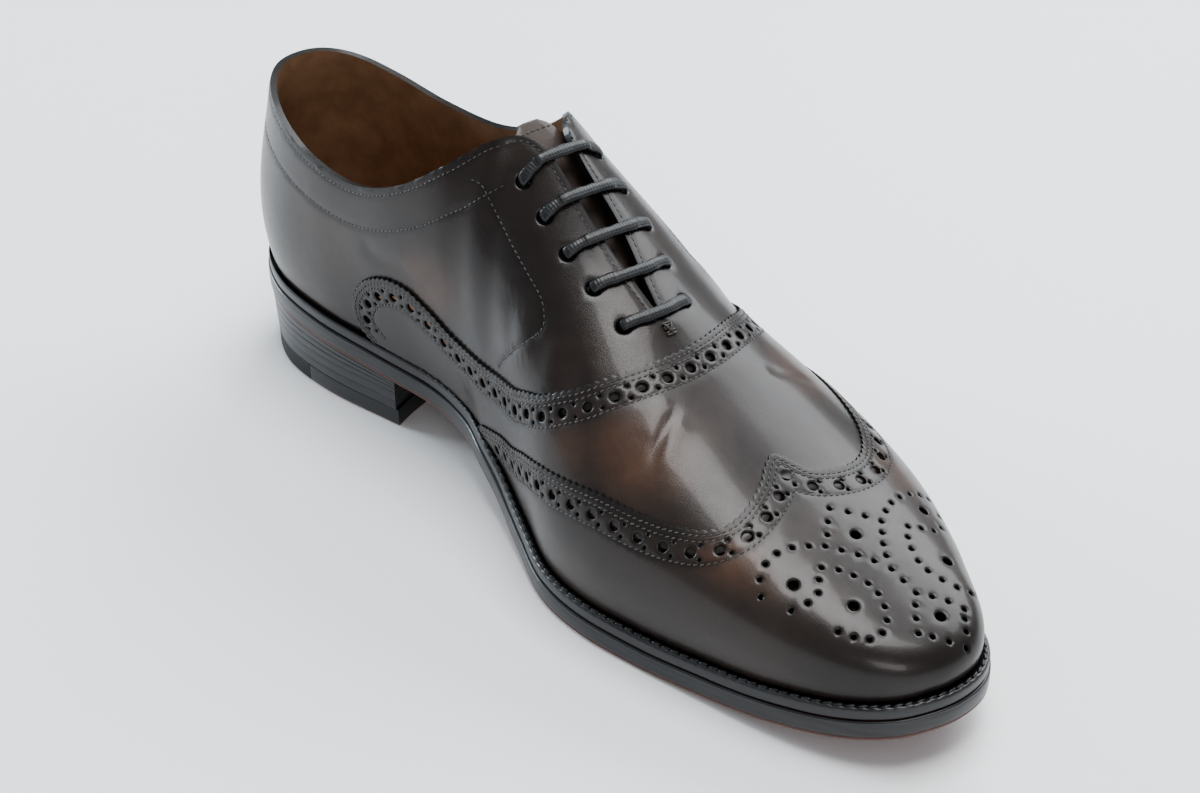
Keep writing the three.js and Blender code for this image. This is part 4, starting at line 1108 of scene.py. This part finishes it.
quarter_rows = []
for side, word in ((INNER, "inner"), (OUTER, "outer")):
    down = 1 if side == OUTER else -1
    edge = rounded(top_line(side), 3.0 if side == INNER else 8.0)
    tuck = beside(vamp_line, -6.0, 1.5)
    half = len(tuck) // 2
    peak = int(np.argmin(np.abs(tuck[:, 0] - tuck[:, 0].max())))
    part = tuck[:peak + 1] if side == INNER else tuck[peak:][::-1]
    heel = np.linspace(0, 1, 60)
    heel_seam = on_last(np.stack([np.zeros(60), heel if side == INNER else 2 - heel], 1))
    border = close_border(unroll(heel_seam), unroll(edge), unroll(part)[::-1],
                          foot_line(side, 5.0, 0.0))
    knots = [(s, u if side == INNER else 2 - u) for s, u in FACING_ROW]
    facing = seam(knots)
    near_edge = beside(even(top_line(side, 8.2, 10.9), 0.5), down * 2.0)
    collar = beside(even(top_line(side, 0.0, 8.0), 0.5), down * 2.2)
    band = beside(even(top_line(side, 0.0, 7.75), 0.5), down * 13.0)
    rows = [facing, near_edge, collar, band]
    holes = [(p, EYELET_BORE / 2) for p in eyelet_places(side)]
    quarter = cut_panel(f"quarter_{word}", border, lambda places: np.full(len(places), -WALL), 0.0, holes,
                        rows, [upper_leather, lining], 1.7)
    finish_piece(quarter, "upper_leather", *(["upper"] if side == INNER else []))
    quarter_rows += [stitches_on(r, -0.13, 1.9, 1.0) for r in (facing, near_edge, collar, band)]
stitch_rows("quarter_stitches", quarter_rows, length=1.4, width=0.42, height=0.36, slant=0.12)

# %% [markdown]
# ## Tongue
# The tongue is a sheet of leather with rounded edges. It lies under the facings and the lace,
# shows in the slit between them, and stands up out of the shoe with a rounded, stitched end.

# %% Places on the wall
TONGUE_RISE, TONGUE_THICK, TONGUE_DEEP = 14.0, 2.0, 4.7


def up_at(at, side, distance):
    """Up the wall at one station, at a distance in from its top edge."""
    column = np.linspace(1, 0.2, 240)
    run = np.linalg.norm(np.diff(wall(np.full(240, at), side, column), axis=0), axis=1)
    return np.interp(distance, np.concatenate([[0], np.cumsum(run)]), column)


def raised(at, side, up, height):
    """The place at a height over the wall's surface, below it for a negative height."""
    at, up = np.array([float(at)]), np.array([min(float(up), 0.985)])
    onward = wall(at + 0.02, side, up) - wall(at - 0.02, side, up)
    upward = wall(at, side, up + 0.01) - wall(at, side, up - 0.01)
    out = unit(np.cross(onward, upward)) * (1 if side == INNER else -1)
    return (wall(at, side, up) + out * height)[0]


def sheet(name, rows, thick, materials, round_out=0.42):
    """A sheet with rounded edges under a grid of places on its upper face."""
    out = unit(np.cross(np.gradient(rows, axis=0), np.gradient(rows, axis=1)))
    out = out if out[..., 2].mean() > 0 else -out
    r, c = rows.shape[:2]
    grid = np.arange(r * c).reshape(r, c)
    loop = np.concatenate([grid[0], grid[1:, -1], grid[-1, -2::-1], grid[-2:0:-1, 0]])
    flat, outs = rows.reshape(-1, 3), out.reshape(-1, 3)
    onward = unit(np.roll(flat[loop], -1, 0) - np.roll(flat[loop], 1, 0))
    away = np.cross(onward, outs[loop])
    away *= np.sign(((flat[loop] - flat.mean(0)) * away).sum(1))[:, None]
    rims = [flat[loop] - outs[loop] * thick * share + away * thick * round_out * bulge
            for share, bulge in ((0.18, 0.75), (0.5, 1.0), (0.82, 0.75))]
    points = np.vstack([flat, flat - outs * thick] + rims)
    faces = grid_faces(r, c) + grid_faces(r, c, r * c, flip=True)
    kinds = [0] * (len(faces) // 2) + [len(materials) - 1] * (len(faces) // 2)
    rings = [loop] + [2 * r * c + k * len(loop) + np.arange(len(loop)) for k in range(3)] + [loop + r * c]
    for a, b in zip(rings[:-1], rings[1:]):
        edge = np.stack([a, b, np.roll(b, -1), np.roll(a, -1)], 1)
        faces += edge.tolist()
        kinds += [0] * len(edge)
    return face_out(make_piece(name, points, faces, materials, kinds))


# %% Tongue
def tongue_rows():
    rows = []
    reach = [24, 20, 16, 12, 8.5, 5.5]
    for at in np.linspace(9.2, 12.3, 30):
        ramp = np.clip((at - THROAT - 0.3) / 0.9, 0, 1)
        depth = TONGUE_DEEP + (WALL + FIT - TONGUE_DEEP) * ramp
        inner = [raised(at, INNER, up_at(at, INNER, d), -depth) for d in reach]
        outer = [raised(at, OUTER, up_at(at, OUTER, d), -depth) for d in reach]
        fine = curve_through(inner + outer[::-1], 8)
        share = np.linspace(0, 1, len(fine))
        rows.append(np.stack([np.interp(np.linspace(0, 1, 41), share, fine[:, c]) for c in range(3)], 1))
    lift = unit(rows[0] - rows[3]).mean(0)
    middle = rows[0][20]
    bow = 1 - 0.10 * np.linspace(-1, 1, 41) ** 2
    ends = []
    for share in np.linspace(1, 0, 16, endpoint=False):
        narrow = math.sqrt(1 - (0.93 * share) ** 4)
        ends.append(middle + (rows[0] - middle) * narrow + lift * (TONGUE_RISE * share * bow)[:, None])
    return np.array(ends + rows)


tongue_grid = tongue_rows()
tongue = sheet("tongue_leather", tongue_grid, TONGUE_THICK, [tongue_calf_painted_light, lining])
finish_piece(tongue, "upper_leather", "tongue")
hem = np.vstack([tongue_grid[24:3:-1, 2], tongue_grid[3, 3:-3], tongue_grid[3:25, -3]])
hem = even(hem, 1.9)
hem_out = unit(np.cross(tongue_grid[20, -1] - tongue_grid[20, 0], tongue_grid[0, 20] - tongue_grid[20, 20]))
hem_out = np.tile(hem_out if hem_out[2] > 0 else -hem_out, (len(hem), 1))
stitch_rows("tongue_stitches", [(hem + hem_out * 0.05, hem_out)], length=1.4, width=0.4, height=0.35,
            slant=0.1)

# %% [markdown]
# ## Lace
# One flat waxed lace goes bar after bar up the facings. It comes up through one eyelet, lies
# across the slit, goes down through the eyelet opposite and runs hidden to the next pair. Its
# ends stop inside, below the top pair.

# %% Lace
LACE_HALF_WIDE, LACE_HALF_THICK = 1.75, 0.85
OVER, BELOW = 1.1, -3.55


def eyelet_spot(pair, side, extra=0.0):
    spot = walk(even(top_line(side)[::-1], 0.25), EYELET_FIRST + pair * EYELET_PITCH)
    at = np.interp(spot[0], top_line(side, 8)[:, 0], np.linspace(8, THROAT, 400))
    return np.array([at, up_at(at, side, EYELET_SET + extra)])


def lace_knots():
    """Places of the lace's middle, with the direction its flat side lies in at each."""
    ends = [eyelet_places(side)[[0, -1]] for side in (INNER, OUTER)]
    climb = unit(ends[0][1] - ends[0][0] + ends[1][1] - ends[1][0])
    crossing = unit((ends[1] - ends[0]).mean(0))
    knots = []

    def knot(spot, side, height, flat):
        knots.append(np.concatenate([raised(*(spot[0], side, spot[1]), height), flat]))

    for pair in (4, 3, 2, 1):
        knot(eyelet_spot(pair, INNER, 5), INNER, BELOW, crossing)
    knot((eyelet_spot(0, INNER) + eyelet_spot(0, INNER, 5)) / 2, INNER, BELOW, crossing)
    for pair in range(5):
        here, there = (INNER, OUTER) if pair % 2 == 0 else (OUTER, INNER)
        start, end = eyelet_spot(pair, here), eyelet_spot(pair, there)
        to_edge = [np.array([0, 1 - spot[1]]) for spot in (start, end)]
        for height in (BELOW + 0.6, -WALL / 2, OVER * 0.55):
            knot(start, here, height, climb)
        for share in (0.22, 0.5, 0.8):
            knot(start + to_edge[0] * share, here, OVER, climb)
        for share in (0.8, 0.5, 0.22):
            knot(end + to_edge[1] * share, there, OVER, climb)
        for height in (OVER * 0.55, -WALL / 2, BELOW + 0.6):
            knot(end, there, height, climb)
        if pair < 4:
            for share in (0.3, 0.7):
                knot(end + (eyelet_spot(pair + 1, there) - end) * share, there, BELOW, crossing)
    return np.array(knots)


def ribbon(name, knots, half_wide, half_thick, corners, spacing, materials):
    """A flat-round cord through knots of place and flat direction, with a map for its weave."""
    dense = curve_through(knots, 14)
    run = np.concatenate([[0], np.cumsum(np.linalg.norm(np.diff(dense[:, :3], axis=0), axis=1))])
    want = np.arange(0, run[-1], spacing)
    line = np.stack([np.interp(want, run, dense[:, c]) for c in range(6)], 1)
    middle, flat = line[:, :3], line[:, 3:]
    onward = unit(np.gradient(middle, axis=0))
    flat = unit(flat - onward * (flat * onward).sum(1)[:, None])
    out = np.cross(onward, flat)
    angle = np.linspace(0, 2 * math.pi, corners, endpoint=False)
    wide = np.sign(np.cos(angle)) * np.abs(np.cos(angle)) ** 0.85 * half_wide
    thick = np.sign(np.sin(angle)) * np.abs(np.sin(angle)) ** 0.85 * half_thick
    pinch = 1 + 0.05 * np.sin(want * 0.53) + 0.04 * np.sin(want * 1.31 + 1)
    rings = (middle[:, None] + flat[:, None] * (wide[None] * pinch[:, None])[..., None]
             + out[:, None] * thick[None, :, None])
    n = len(rings)
    faces = grid_faces(n, corners, wrap_columns=True)
    points = np.vstack([rings.reshape(-1, 3), middle[:1], middle[-1:]])
    for j in range(corners):
        k = (j + 1) % corners
        faces.append((n * corners, j, k))
        faces.append((n * corners + 1, (n - 1) * corners + k, (n - 1) * corners + j))
    piece = make_piece(name, points, faces, materials, smooth=60)
    layer = piece.data.uv_layers.new(name="lace")
    for f, polygon in enumerate(piece.data.polygons):
        i, j = divmod(f, corners)
        for k, loop in enumerate(polygon.loop_indices):
            along = min(i + (1 if k in (1, 2) else 0), n - 1)
            layer.data[loop].uv = (want[along] / 0.95, (j + (1 if k in (2, 3) else 0)) * 10 / corners)
    return piece, run[-1]


lace, lace_length = ribbon("waxed_lace", lace_knots(), LACE_HALF_WIDE, LACE_HALF_THICK, 14, 0.4,
                           [lace_finish])
finish_piece(lace, "lace_cord", "lace")
print("lace", round(lace_length), "mm long")

# %% Bar tack at the throat
def bar_tack():
    """A few threads crossed over the slit's lower end."""
    ridge = on_last([(s, 1.0) for s in np.linspace(10.99, 11.13, 9)])
    _, outs = lay(unroll(ridge))
    down = unit(ridge[-1] - ridge[0])
    over = unit(np.cross(outs[4], down))
    places, along = [], []
    for k, lean in zip((0, 2, 4, 6, 8), (0.1, -0.12, 0.06, -0.1, 0.08)):
        places.append(ridge[k] + outs[4] * 0.35)
        along.append(unit(over + down * lean))
    for offset, lean in ((-0.5, 0.5), (0.5, -0.5)):
        places.append(ridge[4] + over * offset + outs[4] * 0.8)
        along.append(unit(down + over * lean))
    piece = grow("bar_tack", ROW_TREE, places, {"along": along, "outward": [outs[4]] * len(places)}, {
        "Long": 0.0036, "Wide": 0.0008, "High": 0.0007, "Slant": 0.0, "Segments": 14, "Rings": 10,
        "Material": thread})
    return finish_piece(piece, "upper_leather")


bar_tack()

# %% [markdown]
# ## Welt
# The welt is a strip of leather stitched round the upper. Its top carries wheel marks and a row
# of stitches from the waist round the toe, and a deep groove parts it from the upper.

# %% Round the edge of the sole
def around(spacing):
    """Evenly round the sole's edge: station, place in plan, outward direction and ledge of each."""
    parts = []
    for side in (INNER, OUTER):
        fine = np.linspace(0, TIP, 3000)
        xy, _ = outline(fine, side)
        run = np.concatenate([[0], np.cumsum(np.linalg.norm(np.diff(xy, axis=0), axis=1))])
        count = int(run[-1] / spacing)
        want = np.linspace(0, run[-1], count, endpoint=False) + (run[-1] / count if side else 0)
        at = np.interp(want, run, fine)
        at = at if side == INNER else at[::-1]
        parts.append((at, *outline(at, side), section(at, side)[:, 2]))
    return [np.concatenate([p[k] for p in parts]) for k in range(4)]


def edge_ring(xy, out, inset, height):
    """A ring of places at an inset and a height over the tread, each one number or one per place."""
    flat = xy - out * np.reshape(inset * np.ones(len(xy)), (-1, 1))
    return np.concatenate([flat, (underside(flat[:, 0]) + height)[:, None]], 1)


# %% Welt
WELT_PITCH, WELT_STEP = 3.1, 0.5


def make_welt():
    spacing = 0.55
    at, xy, out, ledge = around(spacing)
    shown = ledge * 0.62 - 0.45
    sewn = np.clip((at - 5.6) / 0.5, 0, 1)
    wheel = 0.16 * np.cos(2 * math.pi * np.arange(len(at)) * spacing / WELT_PITCH) * sewn
    top = WELT_LOW + WELT_THICK
    rows = [(ledge + 1.2, WELT_LOW), (3.0, WELT_LOW), (0.85, WELT_LOW), (0.58, WELT_LOW + 0.22),
            (WELT_STEP, WELT_LOW + 0.7), (WELT_STEP, top - 1.1), (0.58, top - 0.6),
            (0.85, top - 0.2 + wheel * 0.5), (0.5 + shown * 0.30, top + wheel),
            (0.5 + shown * 0.5, top + wheel * 0.6),
            (0.5 + shown * 0.72, top - 0.05 + wheel * 0.4), (0.5 + shown * 0.92, top - 0.5),
            (0.5 + shown * 1.08, top - 1.3), (ledge + 0.3, top - 1.4), (ledge + 1.2, top - 1.4)]
    rings = np.array([edge_ring(xy, out, inset, height) for inset, height in rows])
    n, m = rings.shape[:2]
    faces = grid_faces(n, m, wrap_rows=True, wrap_columns=True)
    piece = make_piece("welt_strip", rings.reshape(-1, 3), faces, [edge_finish], smooth=50,
                       values={"low": np.zeros(n * m)})
    finish_piece(face_out(piece), "edge_leather", "welt")
    line = edge_ring(xy, out, 0.5 + shown * 0.5, top + 0.12)
    picks = np.round(np.arange(0, len(at) - 1, WELT_PITCH / spacing)).astype(int)
    picks = picks[at[picks] > 5.7]
    along = unit(line[(picks + 1) % len(line)] - line[picks - 1])
    seam_thread = grow("welt_stitches", ROW_TREE, line[picks],
                       {"along": along, "outward": np.tile([0, 0, 1.0], (len(picks), 1))},
                       {"Long": 0.0027, "Wide": 0.0011, "High": 0.0007, "Slant": 0.18, "Segments": 12,
                        "Rings": 8, "Material": black_thread})
    finish_piece(seam_thread, "edge_leather")


make_welt()

# %% [markdown]
# ## Sole
# The leather sole has a dressed edge with a fine line at its lower lip. Underneath, an open
# channel runs parallel to the edge and holds the black sole seam, and the leather is polished.

# %% Sole
CHANNEL = 8.4
# inset, height, share of channel edge, share of lower lip, whether drawn in at the waist
SOLE_PROFILE = [
    (11.0, 6.5, 0, 0, 0), (4.0, 6.5, 0, 0, 0), (0.9, 6.5, 0, 0, 0), (0.35, 6.38, 0, 0, 0),
    (0.08, 6.05, 0, 0, 0), (0.16, 5.75, 0, 0, 0), (0.05, 5.4, 0, 0, 0), (0.0, 4.0, 0, 0, 0),
    (0.0, 2.4, 0, 0, 0), (0.03, 1.6, 0, 0.1, 0), (0.2, 1.3, 0, 0.3, 0), (0.05, 1.0, 0, 0.8, 0),
    (0.12, 0.6, 0, 1, 0), (0.4, 0.22, 0.5, 1, 0), (0.95, 0.0, 0.6, 0.6, 0), (1.7, 0.0, 0.12, 0, 0),
    (4.0, 0.0, 0, 0, 1), (CHANNEL - 1.2, 0.0, 0.1, 0, 1), (CHANNEL - 0.8, 0.0, 0.9, 0, 1),
    (CHANNEL - 0.45, 0.6, 1.0, 0, 1), (CHANNEL, 0.8, 0.5, 0, 1), (CHANNEL + 0.45, 0.6, 1.0, 0, 1),
    (CHANNEL + 0.8, 0.0, 0.9, 0, 1), (CHANNEL + 1.2, 0.0, 0.1, 0, 1), (11.0, 0.0, 0, 0, 1)]
FIRST_EDGE_ROW, LAST_EDGE_ROW = 2, 13


def make_sole():
    plans = [outline(stations, side) for side in (INNER, OUTER)]
    forepart = np.clip((stations - 7.5) / 3, 0, 1)
    near = [0.58 + 0.42 * forepart, 0.80 + 0.20 * forepart]
    rings, cut, low = [], [], []
    for inset, height, edge, lip, drawn in SOLE_PROFILE:
        inner, outer = (edge_ring(xy, out, inset * (near[k] if drawn else 1), height)
                        for k, (xy, out) in enumerate(plans))
        rings.append(np.vstack([inner, outer[::-1][1:-1]]))
        cut.append(np.full(len(rings[-1]), edge))
        low.append(np.full(len(rings[-1]), lip))
    rings = np.array(rings)
    n, m = rings.shape[:2]
    faces = grid_faces(n, m, wrap_columns=True)
    kinds = np.repeat([0 if FIRST_EDGE_ROW <= k <= LAST_EDGE_ROW else 1 for k in range(n - 1)], m).tolist()
    points, cut, low = rings.reshape(-1, 3), np.concatenate(cut), np.concatenate(low)
    count, columns = len(stations), 15
    for ring in (0, n - 1):
        inner = rings[ring, :count]
        outer = np.vstack([inner[:1], rings[ring, count:][::-1], inner[-1:]])
        share = np.linspace(0, 1, columns)[None, :, None]
        between = inner[:, None] * (1 - share) + outer[:, None] * share
        faces += grid_faces(count, columns, len(points))
        kinds += [1] * ((count - 1) * (columns - 1))
        points = np.vstack([points, between.reshape(-1, 3)])
        cut = np.concatenate([cut, np.zeros(count * columns)])
        low = np.concatenate([low, np.zeros(count * columns)])
    piece = make_piece("leather_sole", points, faces, [edge_finish, sole_finish], kinds, smooth=48,
                       values={"cut": cut, "low": low})
    finish_piece(face_out(piece), "sole_leather", "outsole")
    rows = []
    for k, (xy, out) in enumerate(plans):
        line = even(edge_ring(xy, out, CHANNEL * near[k], 0.55)[stations > 4.9], 2.7)
        rows.append((line, np.tile([0, 0, -1.0], (len(line), 1))))
    stitch_rows("sole_seam", rows, "sole_leather", length=2.3, width=0.95, height=0.7, slant=0.12,
                material=black_thread)


make_sole()

# %% [markdown]
# ## Heel
# The heel is a stack of lifts with a hollow front face. Its top piece is leather in front, held
# with small brass nails, and rubber at the back where a heel strikes first.

# %% Heel plans
HEEL_LENGTH, HEEL_TAPER, BREAST_HOLLOW, TOP_PIECE = 80.0, 1.4, 6.0, 6.0
RUBBER_INNER, RUBBER_OUTER = 40.0, 58.0


def heel_plan(inset):
    """Loop from the inner breast corner round the back to the outer one, and along the breast."""
    fine = np.linspace(0, 8, 2000)
    front = np.interp(HEEL_LENGTH, outline(fine, INNER)[0][:, 0], fine)
    sides = [outline(np.linspace(0, front, 90), side, inset)[0] for side in (INNER, OUTER)]
    loop = np.vstack([sides[0][::-1], sides[1][1:]])
    t = np.linspace(0, 1, 40)[1:-1, None]
    breast = loop[-1] + (loop[0] - loop[-1]) * t
    breast[:, 0] -= (4 * t * (1 - t))[:, 0] * BREAST_HOLLOW
    return np.vstack([loop, breast])


def cut_at_joint(plan, gap, rear):
    """The part of a closed plan behind the slanted joint, or the part in front of it."""
    slope = (RUBBER_OUTER - RUBBER_INNER) / (0.6 * BALL_WIDTH)
    ahead = plan[:, 0] - plan[:, 1] * slope - (RUBBER_INNER + RUBBER_OUTER) / 2
    ahead = ahead + gap if rear else gap - ahead
    kept = []
    for i in range(len(plan)):
        j = (i + 1) % len(plan)
        if ahead[i] <= 0:
            kept.append(plan[i])
        if (ahead[i] <= 0) != (ahead[j] <= 0):
            kept.append(plan[i] + (plan[j] - plan[i]) * (ahead[i] / (ahead[i] - ahead[j])))
    return even(np.vstack(kept + kept[:1]), 0.9)[:-1]


def block(name, plan, rows, materials, kinds, values=None, smooth=42):
    """A closed block on a plan. Its rows of inset and height run from the middle below to that above."""
    middle = plan.mean(0)
    away = plan - middle
    far = np.linalg.norm(away, axis=1)[:, None]
    rings = []
    for inset, height in rows:
        flat = middle + away * np.clip(1 - inset / far, 0.02, 1)
        z = height(flat[:, 0]) if callable(height) else np.full(len(flat), float(height))
        rings.append(np.concatenate([flat, z[:, None]], 1))
    rings = np.array(rings)
    n, m = rings.shape[:2]
    points = np.vstack([rings.reshape(-1, 3), rings[0].mean(0)[None], rings[-1].mean(0)[None]])
    faces = grid_faces(n, m, wrap_columns=True)
    face_kinds = np.repeat(kinds, m).tolist()
    for j in range(m):
        k = (j + 1) % m
        faces.append((n * m, j, k))
        faces.append((n * m + 1, (n - 1) * m + k, (n - 1) * m + j))
        face_kinds += [kinds[0], kinds[-1]]
    layers = {key: np.concatenate([np.repeat(v, m), [v[0], v[-1]]]) for key, v in (values or {}).items()}
    return face_out(make_piece(name, points, faces, materials, face_kinds, smooth, layers))


# %% Stack of lifts
LEVEL_JOINTS, WEDGE_SHARES = (TOP_PIECE + 0.03, 9.7, 13.2), (0.36, 0.68, 1.0)


def lift_height(level, x):
    """Height of the joint between two lifts: two level ones, and a wedge of three above them."""
    if level < 3:
        return LEVEL_JOINTS[level] + 0 * x
    return LEVEL_JOINTS[2] + (underside(x) - 0.03 - LEVEL_JOINTS[2]) * WEDGE_SHARES[level - 3]


def make_stack():
    rows = [(60.0, lambda x: lift_height(0, x)), (8.0, lambda x: lift_height(0, x))]
    for level in range(5):
        for share, sunk in ((0.02, 0.26), (0.10, 0.05), (0.3, 0.0), (0.7, 0.0), (0.90, 0.05), (0.98, 0.26)):
            def height(x, level=level, share=share):
                return lift_height(level, x) * (1 - share) + lift_height(level + 1, x) * share
            rows.append(((HEEL_TAPER - WELT_STEP) * (1 - (level + share) / 5) + sunk, height))
    rows += [(8.0, lambda x: lift_height(5, x)), (60.0, lambda x: lift_height(5, x))]
    piece = block("heel_lifts", heel_plan(WELT_STEP), rows, [edge_finish], [0] * (len(rows) - 1),
                  {"low": [0] * len(rows)})
    finish_piece(piece, "edge_leather", "heel_stack")


make_stack()

# %% Top piece, rubber and nails
JOINT_GAP, NAIL_REACH = 0.08, 2.3
NAIL_SPOTS = [(71.5, -19.5), (59.5, -22.5), (49.0, -22.0), (72.0, 22.0), (64.5, 23.0)]


def make_top_piece():
    whole = heel_plan(HEEL_TAPER)
    rows = [(60, 0), (20, 0), (6, 0), (1.4, 0.0), (0.7, 0.03), (0.3, 0.14), (0.08, 0.4), (0.0, 0.9),
            (0.0, 3.0), (0.0, 5.1), (0.1, 5.6), (0.3, 5.9), (1.2, 6.0), (60, 6.0)]
    cut = [0, 0, 0, 0.1, 0.55, 0.8, 0.6, 0.1, 0, 0, 0.3, 0.4, 0, 0]
    piece = block("heel_leather", cut_at_joint(whole, JOINT_GAP, False), rows, [top_leather, edge_finish],
                  [0] * 6 + [1] * 7, {"cut": cut, "low": [0] * len(rows)})
    finish_piece(piece, "sole_leather", "top_piece")
    piece = block("heel_rubber_corner", cut_at_joint(whole, JOINT_GAP, True), rows, [rubber],
                  [0] * (len(rows) - 1))
    finish_piece(piece, "heel_rubber", "top_piece_rubber")
    heads = []
    for k, (x, y) in enumerate(NAIL_SPOTS):
        for turn in (0.4, 2.5, 4.6):
            angle = turn + 0.5 * k
            heads.append((x + NAIL_REACH * math.cos(angle), y + NAIL_REACH * math.sin(angle), 0.0))
    vectors = {"along": [(1.0, 0, 0)] * len(heads), "outward": [(0, 0, -1.0)] * len(heads)}
    # A dark disc under each brass nail is painted shade for the well round the nail.
    for word, high, wide, thick, finish in (("nail_wells", 0.11, 0.0022, 0.00026, rubber),
                                            ("brass_nails", 0.14, 0.0015, 0.00036, brass)):
        piece = grow(word, ROW_TREE, np.array(heads) + (0, 0, high), vectors, {
            "Long": wide, "Wide": wide, "High": thick, "Segments": 16, "Rings": 10, "Material": finish})
        finish_piece(piece, "sole_leather")


make_top_piece()

# %% [markdown]
# ## Insole
# A leather sock lies over the insole, turned up a little where it meets the wall.

# %% Insole
def make_insole():
    at = np.linspace(0.02, TIP - 0.02, 200)
    share = np.linspace(-1, 1, 33)
    inner, outer = (outline(at, side, section(at, side)[:, 2] + WALL + 0.15)[0] for side in (INNER, OUTER))
    t = ((share + 1) / 2)[None, :, None]
    flat = inner[:, None] * (1 - t) + outer[:, None] * t
    rise = 0.9 * np.abs(share[None]) ** 8 - 0.3 * (1 - share[None] ** 2)
    z = underside(flat[..., 0].ravel()).reshape(flat.shape[:2]) + SEAT + INSOLE_THICK + rise
    piece = sheet("sock", np.concatenate([flat, z[..., None]], 2), 2.6, [sock_leather], 0.04)
    finish_piece(piece, "lining_leather", "insole")


make_insole()

# %% [markdown]
# ## Floor, light and the end
# A plain pale floor, a large soft window behind the shoe, a light above it, and two weaker ones:
# one in front and a small cool one low behind the heel.

# %% Floor and lights
def stage_floor():
    bpy.ops.mesh.primitive_plane_add(size=8, location=(0, 0, -0.0002))
    floor = bpy.context.object
    floor.name = "floor"
    f = Finish("pale_floor")
    floor.data.materials.append(f.done(colour=(0.86, 0.875, 0.885), rough=0.55))


stage_floor()


def soft_light(name, place, target, size, power, colour=(1, 1, 1)):
    data = bpy.data.lights.new(name, "AREA")
    data.shape, data.size, data.size_y = "RECTANGLE", *size
    data.energy, data.color = power, colour
    light = bpy.data.objects.new(name, data)
    bpy.context.scene.collection.objects.link(light)
    at = Vector(place)
    turned = (Vector(target) - at).to_track_quat("-Z", "Y").to_matrix().to_4x4()
    light.matrix_world = Matrix.Translation(at) @ turned


soft_light("window", (-0.25, 1.15, 0.95), (0.03, 0, 0.05), (1.3, 0.9), 20, (0.93, 0.97, 1.0))
soft_light("above", (0.05, 0.12, 1.4), (0.03, 0, 0), (0.9, 0.7), 17)
soft_light("front", (1.3, -0.9, 0.8), (0.05, 0, 0.04), (0.8, 0.5), 6, (1.0, 0.98, 0.96))
soft_light("low_back", (-1.25, -0.45, 0.42), (0.05, 0, 0.05), (0.42, 0.36), 12, (0.80, 0.91, 1.0))
world = bpy.data.worlds.new("world")
world.use_nodes = True
world.node_tree.nodes["Background"].inputs["Color"].default_value = (0.86, 0.90, 0.94, 1)
world.node_tree.nodes["Background"].inputs["Strength"].default_value = 0.38
bpy.context.scene.world = world
bpy.context.scene.view_settings.view_transform = "AgX"
bpy.context.scene.view_settings.look = "AgX - Medium High Contrast"
